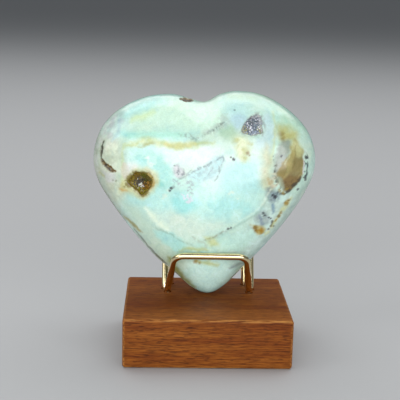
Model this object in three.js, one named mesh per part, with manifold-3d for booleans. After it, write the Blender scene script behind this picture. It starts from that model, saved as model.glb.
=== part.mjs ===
// A polished, puffy heart of blue-green Andean opal on its display stand. The stone stands tip down on a
// mahogany block. A low front wire and a short heel wire grip its foot, and a tall rear wire carries its back.
// Two open pockets in the stone's face are lined with a crust of small quartz points.
// Units are millimetres, +Z is up, and the stone's face looks towards -Y. The origin is under the middle of
// the whole object, on the surface that it stands on.

import * as THREE from "three";
import { RoundedBoxGeometry } from "three/addons/geometries/RoundedBoxGeometry.js";
import { mergeVertices } from "three/addons/utils/BufferGeometryUtils.js";
import Module from "manifold-3d";

const wasm = await Module();
wasm.setup();

// The block, measured from the middle of the front edge of its top.
const blockWidth = 76;
const blockDepth = 63.5;
const blockHeight = 23;
const blockEdgeRadius = 1.5;
const blockCornerSteps = 3;

// The stone. An outline point is its distance right of the tip and its height above the tip, along the face.
const stoneOutline = [
  [0, 0], [7.6, 3.7], [17.5, 13.8], [26.6, 23.2], [37.2, 36.3], [45.1, 48.6], [49.4, 59], [49.4, 69],
  [45.1, 79.3], [35.8, 88.5], [23.9, 94.8], [12, 96.4], [4, 94.8], [-3, 91.1], [-10, 92.4], [-19, 94.4],
  [-32, 92.5], [-43.8, 86.4], [-51.7, 77.4], [-55.1, 65], [-52.8, 53.1], [-44.3, 39.7], [-33.7, 26.5],
  [-25, 17.1], [-16, 9.8], [-8, 2.9],
];
const stoneMiddle = { across: -2, up: 54 };
const stoneThickness = 40;
const stoneLean = 8;
const stoneTip = { right: 1, back: 37.6, lift: 0.3 };
const faceFlatness = 2.4;
const footTaper = { below: 45, amount: 0.35 };
const notchGroove = { across: -3, width: 8, from: 78, to: 92, amount: 0.25 };
const stoneRings = 29;
const stoneColumns = 60;
const skinSearchSteps = 720;

// Each pocket's place on the face, its depth, and its rim as distances from its middle at even angles,
// counted anticlockwise from the right as seen from the front.
const pockets = [
  {
    name: "brown_druse_crust",
    across: -32,
    up: 53,
    depth: 2.6,
    rim: [4.8, 5.0, 4.9, 5.1, 5.8, 5.6, 6.5, 4.6, 3.9, 5.6, 4.4, 4.2],
    crystals: 15,
    crystalHeight: 1.5,
    colour: 0x7a5a1c,
    seed: 11,
  },
  {
    name: "grey_druse_crust",
    across: 18.3,
    up: 80.2,
    depth: 2.4,
    rim: [4.7, 5.1, 6.6, 4.8, 3.7, 3.5, 4.1, 5.9, 4.8, 4.5, 4.2, 5.7],
    crystals: 14,
    crystalHeight: 1.4,
    colour: 0x8d8c95,
    seed: 29,
  },
];
const pocketSegments = 24;
const pocketWall = [
  { reach: 1.14, sink: -0.9 },
  { reach: 1.0, sink: 0 },
  { reach: 0.88, sink: 0.62 },
  { reach: 0.62, sink: 0.92 },
];
const crustLip = [{ reach: 0.95, sink: 0.25 }];
const crustGap = 0.3;
const crustThickness = 0.9;
const crystalRadius = [0.55, 1.05];

// Fissures are worn open along a line on the face. A point is its place across and up, and its half width.
const fissures = [
  {
    name: "edge fissure",
    points: [[-50, 72, 0.4], [-50.6, 66, 0.5], [-50.1, 63, 0.7], [-47.6, 60, 1.2], [-44.8, 58.4, 1.1], [-43, 57.8, 0.5]],
  },
  { name: "notch spot", points: [[-14.6, 91.8, 0.4], [-12.6, 91.8, 1.1], [-10.6, 91.6, 1], [-8.8, 91.4, 0.4]] },
];
const fissureSides = 8;
const fissureStepsBetween = 2;

// The wires. Feet are measured from the same edge as the block. Just above the block, the legs of each wire bend
// into a plane that leans back by the wire's own angle. Its two upper corners are bent to its bend radius.
const wireDiameter = 3.175;
const wireSides = 14;
const bendSteps = 6;
const footDepth = 13;
const footBendHeight = 1;
const footBendReach = 0.8;
const footBendSteps = 4;
const drillClearance = 0.35;
const drillOvershoot = 4;
const wireMiddle = 1.4;
const wires = [
  { name: "front_wire", back: 40.1, lean: -37.1, rise: 26.8, footSpan: 39.2, barSpan: 32.8, bend: 4.8 },
  { name: "heel_wire", back: 52.6, lean: 8.8, rise: 13.2, footSpan: 36.4, barSpan: 35.4, bend: 3.3 },
  { name: "rear_wire", back: 45, lean: 26.8, rise: 45, footSpan: 41.6, barSpan: 41.6, bend: 4.8 },
];

const radians = THREE.MathUtils.degToRad;

// A small seeded random source, so that the crystals are the same each time.
function randomSource(seed) {
  let state = seed;
  return () => {
    state = (state * 1664525 + 1013904223) % 4294967296;
    return state / 4294967296;
  };
}

// A closed solid from a geometry, once only positions are left and shared vertices are merged.
function solidOf(geometry, matrix = new THREE.Matrix4()) {
  const bare = new THREE.BufferGeometry();
  bare.setAttribute("position", geometry.getAttribute("position").clone());
  bare.setIndex(geometry.index);
  bare.applyMatrix4(matrix);
  const merged = mergeVertices(bare, 1e-4);
  return new wasm.Manifold(
    new wasm.Mesh({
      numProp: 3,
      vertProperties: merged.getAttribute("position").array,
      triVerts: new Uint32Array(merged.index.array),
    }),
  );
}

function geometryOf(solid) {
  const mesh = solid.getMesh();
  const geometry = new THREE.BufferGeometry();
  geometry.setAttribute("position", new THREE.BufferAttribute(mesh.vertProperties, 3));
  geometry.setIndex(new THREE.BufferAttribute(mesh.triVerts, 1));
  geometry.computeVertexNormals();
  return geometry;
}

// A closed surface from rings of equal count, each capped by one point at either end.
function capRings(first, rings, last) {
  const count = rings[0].length;
  const points = [first, ...rings.flat(), last];
  const index = [];
  const at = (ring, k) => 1 + ring * count + (k % count);
  for (let k = 0; k < count; k++) {
    index.push(0, at(0, k), at(0, k + 1));
    for (let ring = 0; ring + 1 < rings.length; ring++) {
      index.push(at(ring, k), at(ring + 1, k), at(ring + 1, k + 1));
      index.push(at(ring, k), at(ring + 1, k + 1), at(ring, k + 1));
    }
    index.push(points.length - 1, at(rings.length - 1, k + 1), at(rings.length - 1, k));
  }
  const geometry = new THREE.BufferGeometry().setFromPoints(points);
  geometry.setIndex(index);
  return geometry;
}

const outlineCurve = new THREE.CatmullRomCurve3(
  stoneOutline.map(([across, up]) => new THREE.Vector3(across, 0, up)),
  true,
  "catmullrom",
  0.5,
);

// A point of the stone's skin. polar runs from 0 at the middle of the face, over the rim, to pi at the middle
// of the back, and turn runs once round the outline.
function stonePoint(polar, turn) {
  const rim = outlineCurve.getPoint(turn);
  const share = Math.pow(Math.sin(polar), 2 / faceFlatness);
  const across = stoneMiddle.across + share * (rim.x - stoneMiddle.across);
  const up = stoneMiddle.up + share * (rim.z - stoneMiddle.up);
  const low = THREE.MathUtils.clamp((footTaper.below - up) / footTaper.below, 0, 1);
  const taper = 1 - footTaper.amount * low * low;
  const nearNotch = Math.exp(-(((across - notchGroove.across) / notchGroove.width) ** 2));
  const groove = 1 - notchGroove.amount * nearNotch * THREE.MathUtils.smoothstep(up, notchGroove.from, notchGroove.to);
  return new THREE.Vector3(across, (-stoneThickness / 2) * Math.cos(polar) * taper * groove, up);
}

function stoneGeometry() {
  const rings = [];
  for (let ring = 1; ring < stoneRings; ring++) {
    const polar = (Math.PI * ring) / stoneRings;
    rings.push(
      Array.from({ length: stoneColumns }, (_, k) => stonePoint(polar, k / stoneColumns)),
    );
  }
  return capRings(stonePoint(0, 0), rings, stonePoint(Math.PI, 0));
}

// The skin of the face at a distance right of the tip and a height above it: the place, and the way out there.
function skinAt(across, up) {
  const middle = new THREE.Vector3(stoneMiddle.across, 0, stoneMiddle.up);
  const target = new THREE.Vector3(across, 0, up);
  const bearing = Math.atan2(target.z - middle.z, target.x - middle.x);
  let turn = 0;
  let best = Infinity;
  for (let k = 0; k < skinSearchSteps; k++) {
    const rim = outlineCurve.getPoint(k / skinSearchSteps);
    const angle = Math.atan2(rim.z - middle.z, rim.x - middle.x);
    const miss = Math.abs(Math.atan2(Math.sin(angle - bearing), Math.cos(angle - bearing)));
    if (miss < best) [turn, best] = [k / skinSearchSteps, miss];
  }
  const rim = outlineCurve.getPoint(turn);
  const share = Math.min(target.distanceTo(middle) / rim.distanceTo(middle), 1);
  const polar = Math.asin(Math.pow(share, faceFlatness / 2));
  const step = 0.01;
  const down = stonePoint(polar + step, turn).sub(stonePoint(polar - step, turn));
  const round = stonePoint(polar, turn + step).sub(stonePoint(polar, turn - step));
  const outward = down.cross(round).normalize();
  if (outward.y > 0) outward.negate();
  return { place: stonePoint(polar, turn), outward };
}

// The matrix that puts a pocket's own frame on the face: its Z points out of the stone and its X to the right.
function pocketMatrix(pocket) {
  const { place, outward } = skinAt(pocket.across, pocket.up);
  const right = new THREE.Vector3(1, 0, 0).addScaledVector(outward, -outward.x).normalize();
  const upward = outward.clone().cross(right);
  return new THREE.Matrix4().makeBasis(right, upward, outward).setPosition(place);
}

// The distance from a pocket's middle to its rim at an angle, smoothed between the listed ones.
function rimReach(pocket, angle) {
  const count = pocket.rim.length;
  const along = (angle / (2 * Math.PI)) * count;
  const before = Math.floor(along);
  const share = THREE.MathUtils.smoothstep(along - before, 0, 1);
  return pocket.rim[before % count] * (1 - share) + pocket.rim[(before + 1) % count] * share;
}

function pocketRing(pocket, reach, height, inset) {
  return Array.from({ length: pocketSegments }, (_, k) => {
    const angle = (2 * Math.PI * k) / pocketSegments;
    const radius = rimReach(pocket, angle) * reach - inset;
    return new THREE.Vector3(radius * Math.cos(angle), radius * Math.sin(angle), height);
  });
}

// The hollow of a pocket: a dish with steep sides that runs past the skin. A gap makes it that much smaller.
function hollowSolid(pocket, gap) {
  const rings = pocketWall.map(({ reach, sink }) => pocketRing(pocket, reach, gap - sink * pocket.depth, gap));
  const geometry = capRings(new THREE.Vector3(0, 0, 1), rings, new THREE.Vector3(0, 0, gap - pocket.depth));
  return solidOf(geometry);
}

// One quartz point: a six-sided prism that ends in a pyramid, sunk into the crust.
function crystalSolid(radius, height, place, tilt, spin) {
  const collar = 0.45;
  const ring = (z) =>
    Array.from({ length: 6 }, (_, k) => {
      const angle = (Math.PI * k) / 3;
      return new THREE.Vector3(radius * Math.cos(angle), radius * Math.sin(angle), z);
    });
  const rings = [ring(collar * height), ring(-0.4)];
  const geometry = capRings(new THREE.Vector3(0, 0, height), rings, new THREE.Vector3(0, 0, -0.4));
  const matrix = new THREE.Matrix4().makeRotationFromEuler(new THREE.Euler(tilt.x, tilt.y, spin));
  return solidOf(geometry, matrix.setPosition(place));
}

// The crust that lines a pocket: a thin dish, with its quartz points grown together with it.
function crustGeometry(pocket) {
  const random = randomSource(pocket.seed);
  const outer = crustLip.concat(pocketWall.slice(2)).map(({ reach, sink }) =>
    pocketRing(pocket, reach, crustGap - sink * pocket.depth, crustGap),
  );
  const inner = [
    pocketRing(pocket, 0.6, crustThickness - 0.86 * pocket.depth, crustGap),
    pocketRing(pocket, 0.84, crustGap - 0.3 * pocket.depth, crustGap),
  ];
  const floor = new THREE.Vector3(0, 0, crustThickness - pocket.depth);
  const under = new THREE.Vector3(0, 0, crustGap - pocket.depth);
  let crust = solidOf(capRings(floor, [...inner, ...outer], under));
  for (let k = 0; k < pocket.crystals; k++) {
    const angle = k * 2.4;
    const share = Math.sqrt((k + 0.5) / pocket.crystals) * 0.72;
    const radius = rimReach(pocket, angle % (2 * Math.PI)) * share;
    const size = THREE.MathUtils.lerp(...crystalRadius, random());
    const floorRise = 0.9 * share * share;
    const place = new THREE.Vector3(
      radius * Math.cos(angle),
      radius * Math.sin(angle),
      crustThickness - pocket.depth + floorRise,
    );
    const tilt = { x: (random() - 0.5) * 0.7, y: (random() - 0.5) * 0.7 };
    const height = pocket.crystalHeight * (0.7 + 0.3 * random());
    crust = crust.add(crystalSolid(size, height, place, tilt, random() * Math.PI));
  }
  return geometryOf(crust.intersect(hollowSolid(pocket, crustGap)));
}

// The middle line of a bent round wire, from the end of its right foot, up the leaning leg, over two rounded
// corners and a straight bar, and down to the end of its left foot. The feet stand upright in the block.
function bailLine(wire) {
  const foot = new THREE.Vector2(wire.footSpan / 2, 0);
  const corner = new THREE.Vector2(wire.barSpan / 2, wire.rise);
  const legWay = foot.clone().sub(corner).normalize();
  const barWay = new THREE.Vector2(-1, 0);
  const half = Math.acos(legWay.dot(barWay)) / 2;
  const inward = legWay.clone().add(barWay).normalize();
  const middle = corner.clone().addScaledVector(inward, wire.bend / Math.sin(half));
  const setback = wire.bend / Math.tan(half);
  const from = corner.clone().addScaledVector(legWay, setback).sub(middle).angle();
  const to = corner.clone().addScaledVector(barWay, setback).sub(middle).angle();
  const sweep = Math.atan2(Math.sin(to - from), Math.cos(to - from));
  const up = new THREE.Vector3(0, Math.sin(radians(wire.lean)), Math.cos(radians(wire.lean)));
  const lift = (p) => new THREE.Vector3(p.x, 0, footBendHeight).addScaledVector(up, p.y);
  const base = lift(foot);
  const footBend = new THREE.QuadraticBezierCurve3(
    base.clone().setZ(footBendHeight - footBendReach),
    base,
    lift(foot.clone().addScaledVector(legWay, -footBendReach)),
  );
  const right = [base.clone().setZ(-footDepth), ...footBend.getPoints(footBendSteps)];
  for (let k = 0; k <= bendSteps; k++) {
    const angle = from + (sweep * k) / bendSteps;
    const p = new THREE.Vector2(Math.cos(angle), Math.sin(angle)).multiplyScalar(wire.bend).add(middle);
    right.push(lift(p));
  }
  const left = right.map((p) => p.clone().setX(-p.x)).reverse();
  return [...right, ...left];
}

// A closed bar with a round section at each station of a line, mitred at each turn. A station has its place, its
// radius and a direction that the line never takes.
function roundBar(stations, sides) {
  const places = stations.map(({ place }) => place);
  const rings = stations.map(({ place, across, radius }, k) => {
    const before = places[Math.max(k - 1, 0)];
    const after = places[Math.min(k + 1, places.length - 1)];
    const back = place.clone().sub(before).normalize();
    const along = after.clone().sub(place).normalize().add(back).normalize();
    const side = across.clone().addScaledVector(along, -across.dot(along)).normalize();
    const out = along.clone().cross(side);
    return Array.from({ length: sides }, (_, j) => {
      const angle = (2 * Math.PI * j) / sides;
      return place
        .clone()
        .addScaledVector(out, radius * Math.cos(angle))
        .addScaledVector(side, radius * Math.sin(angle));
    });
  });
  return capRings(places[0], rings, places[places.length - 1]);
}

// What a fissure takes away: a bar that runs along the skin, half sunk in it.
function fissureSolid(fissure) {
  const line = new THREE.CatmullRomCurve3(fissure.points.map(([across, up, radius]) =>
    new THREE.Vector3(across, radius, up),
  ));
  const stations = line.getPoints((fissure.points.length - 1) * fissureStepsBetween).map((p) => {
    const { place, outward } = skinAt(p.x, p.z);
    return { place, across: outward, radius: p.y };
  });
  return solidOf(roundBar(stations, fissureSides));
}

function wireGeometry(wire) {
  const across = new THREE.Vector3(0, Math.cos(radians(wire.lean)), -Math.sin(radians(wire.lean)));
  const stations = bailLine(wire).map((place) => ({ place, across, radius: wireDiameter / 2 }));
  return roundBar(stations, wireSides);
}

// The drills for both feet of a wire. Each hole is upright and runs a little past the foot's end.
function footDrills(wire) {
  return [1, -1].map((side) => {
    const right = wireMiddle + (side * wire.footSpan) / 2;
    const stations = [drillOvershoot, -footDepth - drillClearance].map((z) => ({
      place: new THREE.Vector3(right, wire.back, z),
      across: new THREE.Vector3(0, 1, 0),
      radius: wireDiameter / 2 + drillClearance,
    }));
    return solidOf(roundBar(stations, wireSides));
  });
}

function blockGeometry() {
  const box = new RoundedBoxGeometry(blockWidth, blockDepth, blockHeight, blockCornerSteps, blockEdgeRadius);
  const place = new THREE.Matrix4().makeTranslation(0, blockDepth / 2, -blockHeight / 2);
  let block = solidOf(box, place);
  for (const drill of wires.flatMap(footDrills)) block = block.subtract(drill);
  return geometryOf(block);
}

const finishes = {
  wood: new THREE.MeshStandardMaterial({ color: 0x84431f, roughness: 0.5, metalness: 0 }),
  brass: new THREE.MeshStandardMaterial({ color: 0xd9b25a, roughness: 0.15, metalness: 1 }),
  opal: new THREE.MeshStandardMaterial({ color: 0xc3e3da, roughness: 0.15, metalness: 0 }),
};

function named(name, geometry, material) {
  const mesh = new THREE.Mesh(geometry, material);
  mesh.name = name;
  return mesh;
}

const display = new THREE.Group();
display.add(named("wood_block", blockGeometry(), finishes.wood));

for (const wire of wires) {
  const bail = named(wire.name, wireGeometry(wire), finishes.brass);
  bail.position.set(wireMiddle, wire.back, 0);
  display.add(bail);
}

const stone = new THREE.Group();
stone.position.set(stoneTip.right, stoneTip.back, stoneTip.lift);
stone.rotation.x = -radians(stoneLean);
let heart = solidOf(stoneGeometry());
for (const pocket of pockets) {
  const matrix = pocketMatrix(pocket);
  heart = heart.subtract(hollowSolid(pocket, 0).transform(Array.from(matrix.elements)));
  const crust = named(
    pocket.name,
    crustGeometry(pocket),
    new THREE.MeshStandardMaterial({ color: pocket.colour, roughness: 0.3, metalness: 0 }),
  );
  crust.applyMatrix4(matrix);
  stone.add(crust);
}
for (const fissure of fissures) heart = heart.subtract(fissureSolid(fissure));
stone.add(named("opal_heart", geometryOf(heart), finishes.opal));
display.add(stone);

// The whole is moved so that its middle stands over the origin and the block rests on Z = 0.
const reach = new THREE.Box3().setFromObject(display, true);
const middle = reach.getCenter(new THREE.Vector3());
display.position.set(-middle.x, -middle.y, blockHeight);

const part = new THREE.Group();
part.add(display);
export default part;
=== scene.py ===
import math

import bpy
import numpy as np
from mathutils import Matrix, Vector


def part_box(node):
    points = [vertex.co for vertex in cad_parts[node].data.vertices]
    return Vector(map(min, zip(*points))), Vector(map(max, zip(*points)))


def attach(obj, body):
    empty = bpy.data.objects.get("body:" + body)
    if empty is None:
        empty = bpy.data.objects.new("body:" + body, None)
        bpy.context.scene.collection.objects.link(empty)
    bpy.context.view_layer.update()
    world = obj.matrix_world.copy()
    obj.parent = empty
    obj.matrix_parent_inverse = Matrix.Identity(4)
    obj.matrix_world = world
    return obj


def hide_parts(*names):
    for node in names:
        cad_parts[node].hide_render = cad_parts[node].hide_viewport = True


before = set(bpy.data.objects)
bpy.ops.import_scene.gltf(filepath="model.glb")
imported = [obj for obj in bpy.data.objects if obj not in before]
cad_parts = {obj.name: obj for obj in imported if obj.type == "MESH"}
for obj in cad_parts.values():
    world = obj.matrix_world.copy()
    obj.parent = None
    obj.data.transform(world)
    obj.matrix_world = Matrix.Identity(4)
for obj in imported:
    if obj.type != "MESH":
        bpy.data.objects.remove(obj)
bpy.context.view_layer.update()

mm = 0.001

# The stand is measured from the middle of the front edge of the block's top.
blockLow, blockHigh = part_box("wood_block")
standOrigin = np.array([(blockLow.x + blockHigh.x) / 2, blockLow.y, blockHigh.z]) / mm
print("frame loaded, stand origin in mm:", standOrigin.round(3))


# Turns an sRGB hex colour into linear red, green, blue and alpha.
def linear(hexColour):
    channels = [int(hexColour[k:k + 2], 16) / 255 for k in (0, 2, 4)]
    return [c / 12.92 if c <= 0.04045 else ((c + 0.055) / 1.055) ** 2.4 for c in channels] + [1.0]


# Adds a node: settings go on the node, values on its input sockets, and links join outputs to its inputs.
# ramp lists the stops of a colour ramp, its two outer ones first.
def addNode(tree, kind, settings=None, values=None, links=None, ramp=None):
    node = tree.nodes.new(kind)
    for name, value in (settings or {}).items():
        setattr(node, name, value)
    for name, value in (values or {}).items():
        node.inputs[name].default_value = value
    for name, output in (links or {}).items():
        tree.links.new(output, node.inputs[name])
    for k, (position, colour) in enumerate(ramp or []):
        stops = node.color_ramp.elements
        stop = stops[k] if k < 2 else stops.new(position)
        stop.position = position
        stop.color = linear(colour)
    return node


# A new material with an empty node tree.
def newMaterial(name):
    material = bpy.data.materials.new(name)
    material.use_nodes = True
    material.node_tree.nodes.clear()
    return material, material.node_tree


# Makes a piece from points in mm and faces, gives it its finish, and lets it ride on the one body.
def makePiece(name, points, faces, material, replaced, smooth=True):
    mesh = bpy.data.meshes.new(name)
    mesh.from_pydata((np.asarray(points) * mm).tolist(), [], faces)
    mesh.validate()
    mesh.polygons.foreach_set("use_smooth", np.full(len(mesh.polygons), smooth))
    mesh.materials.append(material)
    piece = bpy.data.objects.new(name, mesh)
    bpy.context.scene.collection.objects.link(piece)
    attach(piece, "root")
    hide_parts(replaced)
    return piece


# The faces of a closed surface: rings of equal count between one point at each end.
# A face joins two neighbours on a ring with the two next to them on the following ring.
def ringFaces(ringCount, count):
    k = np.arange(count)
    after = (k + 1) % count
    ring = 1 + np.arange(ringCount - 1)[:, None] * count
    quads = np.stack([ring + k, ring + count + k, ring + count + after, ring + after], axis=-1)
    lastRing = 1 + (ringCount - 1) * count
    first = np.stack([np.zeros(count, int), 1 + k, 1 + after], axis=-1)
    last = np.stack([np.full(count, lastRing + count), lastRing + after, lastRing + k], axis=-1)
    return quads.reshape(-1, 4).tolist() + first.tolist() + last.tolist()


# Smooth noise from 0 to 1: random values on a lattice of unit cells, blended in between by 3t^2 - 2t^3.
# The value of a corner is mixed from its place and the seed by large factors.
def cellNoise(places, seed):
    cell = np.floor(places).astype(np.int64)
    share = places - cell
    share = share * share * (3 - 2 * share)
    total = np.zeros(len(places))
    for corner in np.ndindex(2, 2, 2):
        at = cell + np.array(corner)
        mixed = (at[:, 0] * 73856093) ^ (at[:, 1] * 19349663) ^ (at[:, 2] * 83492791) ^ (seed * 2654435)
        mixed = (mixed ^ (mixed >> 13)) * 1274126177 & 0x7FFFFFFF
        value = ((mixed ^ (mixed >> 16)) & 0xFFFF) / 65535
        total += value * np.prod(np.where(corner, share, 1 - share), axis=1)
    return total


# Several layers of the noise, each half the size and half the strength of the one before.
def layeredNoise(places, size, seed, layers=3):
    total = sum(cellNoise(places / size * 2 ** k, seed + k) / 2 ** k for k in range(layers))
    return total / sum(1 / 2 ** k for k in range(layers))


# Rises from 0 to 1 between low and high, with no slope at either end.
def smoothStep(low, high, value):
    share = np.clip((value - low) / (high - low), 0, 1)
    return share * share * (3 - 2 * share)


# A smooth curve through points, read at places that count the points from the first one on. Each stretch is
# a cubic whose end slopes are half the step between its neighbours.
def smoothCurve(points, along, closed):
    points = np.asarray(points, float)
    count = len(points)
    before = np.floor(along).astype(int)
    if not closed:
        before = np.minimum(before, count - 2)
    share = (along - before)[..., None]
    pick = [(before + k) % count if closed else np.clip(before + k, 0, count - 1) for k in (-1, 0, 1, 2)]
    p0, p1, p2, p3 = [points[index] for index in pick]
    leave, arrive = (p2 - p0) / 2, (p3 - p1) / 2
    return ((2 * p1 - 2 * p2 + leave + arrive) * share ** 3
            + (-3 * p1 + 3 * p2 - 2 * leave - arrive) * share ** 2 + leave * share + p1)


# The same curve at a number of even steps from each point to the next.
def curveThrough(points, closed, steps):
    spans = len(points) if closed else len(points) - 1
    along = np.linspace(0, spans, spans * steps + (0 if closed else 1), endpoint=not closed)
    return smoothCurve(points, along, closed)


# The stone. Its outline gives the distance right of the tip and the height above it, in mm. The rings of its
# mesh are spaced for a section that reaches meanReach from the middle to the rim.
heart = {
    "outline": [
        (0, 0), (7.6, 3.7), (17.5, 13.8), (26.6, 23.2), (37.2, 36.3), (45.1, 48.6), (49.4, 59), (49.4, 69),
        (45.1, 79.3), (35.8, 88.5), (23.9, 94.8), (12, 96.4), (4, 94.8), (-3, 91.1), (-10, 92.4),
        (-19, 94.4), (-32, 92.5), (-43.8, 86.4), (-51.7, 77.4), (-55.1, 65), (-52.8, 53.1), (-44.3, 39.7),
        (-33.7, 26.5), (-25, 17.1), (-16, 9.8), (-8, 2.9)],
    "middle": (-2, 54), "thickness": 40, "leanDegrees": 8, "tip": (1, 37.6, 0.3), "flatness": 2.4,
    "taperBelow": 45, "taper": 0.35,
    "notchAcross": -3, "notchWidth": 8, "notchFrom": 78, "notchTo": 92, "notchDepth": 0.25,
    "columns": 480, "frontRings": 140, "backRings": 58, "meanReach": 48,
    "ringSamples": 4000, "turnSamples": 7200, "polishWave": 0.05, "waveSize": 14, "inset": 0.05,
}


# The rim of the heart at a share of one turn round it.
def rimAt(turn):
    return smoothCurve(heart["outline"], np.mod(turn, 1) * len(heart["outline"]), True)


# A point of the skin: the rim drawn towards the middle by sin(polar)^(2/flatness), and set forward by half
# the thickness times cos(polar). The foot is thinner by a square law, and the notch has a smooth groove.
def skinAt(polar, turn):
    rim = rimAt(turn)
    share = np.sin(polar) ** (2 / heart["flatness"])
    across = heart["middle"][0] + share * (rim[..., 0] - heart["middle"][0])
    up = heart["middle"][1] + share * (rim[..., 1] - heart["middle"][1])
    low = np.clip((heart["taperBelow"] - up) / heart["taperBelow"], 0, 1)
    nearNotch = np.exp(-((across - heart["notchAcross"]) / heart["notchWidth"]) ** 2)
    groove = 1 - heart["notchDepth"] * nearNotch * smoothStep(heart["notchFrom"], heart["notchTo"], up)
    depth = -heart["thickness"] / 2 * np.cos(polar) * (1 - heart["taper"] * low ** 2) * groove
    return np.stack([across, depth, up], axis=-1)


# The way out of the skin: the cross product of its two slopes, turned away from the middle.
def outwardAt(polar, turn, step=0.002):
    down = skinAt(polar + step, turn) - skinAt(polar - step, turn)
    around = skinAt(polar, turn + step) - skinAt(polar, turn - step)
    outward = np.cross(down, around)
    outward /= np.linalg.norm(outward, axis=-1, keepdims=True)
    fromMiddle = skinAt(polar, turn) - np.array([heart["middle"][0], 0, heart["middle"][1]])
    return outward * np.sign(np.sum(outward * fromMiddle, axis=-1, keepdims=True))


# Carries points of the leaning stone into the row's frame.
def leanBack(points):
    lean = math.radians(heart["leanDegrees"])
    across, depth, up = np.moveaxis(points, -1, 0)
    back = depth * math.cos(lean) + up * math.sin(lean)
    height = up * math.cos(lean) - depth * math.sin(lean)
    return np.stack([across, back, height], axis=-1) + np.array(heart["tip"]) + standOrigin


# The two open pockets. Each rim is listed as distances from the pocket's middle at even angles.
pockets = {
    "brown": {
        "middle": (-32, 53), "depth": 2.6, "wall": "6e5a20",
        "rim": [4.8, 5.0, 4.9, 5.1, 5.8, 5.6, 6.5, 4.6, 3.9, 5.6, 4.4, 4.2],
    },
    "grey": {
        "middle": (18.3, 80.2), "depth": 2.4, "wall": "a2a6a8",
        "rim": [4.7, 5.1, 6.6, 4.8, 3.7, 3.5, 4.1, 5.9, 4.8, 4.5, 4.2, 5.7],
    },
}

# The form of both hollows: how far they sink at each share of the way to the rim. The polish has worn the
# rim round, up to wornReach, and the wall's colour fades out between two reaches in a ragged edge. Past
# farReach and behind farBehind, in mm, nothing is sunk.
pocketShape = {
    "reach": [0, 0.62, 0.88, 1.0], "sink": [1.0, 0.92, 0.62, 0.0], "wornReach": 1.22, "wornDepth": 0.18,
    "ragged": 0.35, "raggedSize": 1.5, "wallColour": (1.05, 0.95), "farReach": 1.4, "farBehind": -8,
}


# The distance from a pocket's middle to its rim at each angle.
def rimReach(pocket, angle):
    rim = np.asarray(pocket["rim"], float)
    along = np.mod(angle, 2 * np.pi) / (2 * np.pi) * len(rim)
    before = np.floor(along).astype(int) % len(rim)
    share = smoothStep(0, 1, along - np.floor(along))
    return rim[before] * (1 - share) + rim[(before + 1) % len(rim)] * share


# The point of the skin at a place on the face, and the frame of axes there: right, up and out.
def faceFrame(across, up):
    turns = np.linspace(0, 1, heart["turnSamples"], endpoint=False)
    rim = rimAt(turns) - np.array(heart["middle"])
    target = np.array([across, up]) - np.array(heart["middle"])
    bearing = np.arctan2(rim[:, 1], rim[:, 0]) - math.atan2(target[1], target[0])
    best = np.argmin(np.abs(np.arctan2(np.sin(bearing), np.cos(bearing))))
    share = min(np.linalg.norm(target) / np.linalg.norm(rim[best]), 1)
    polar = np.array(math.asin(share ** (heart["flatness"] / 2)))
    turn = np.array(turns[best])
    outward = outwardAt(polar, turn)
    right = np.array([1.0, 0, 0]) - outward[0] * outward
    right /= np.linalg.norm(right)
    return skinAt(polar, turn), np.stack([right, np.cross(outward, right), outward])


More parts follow.
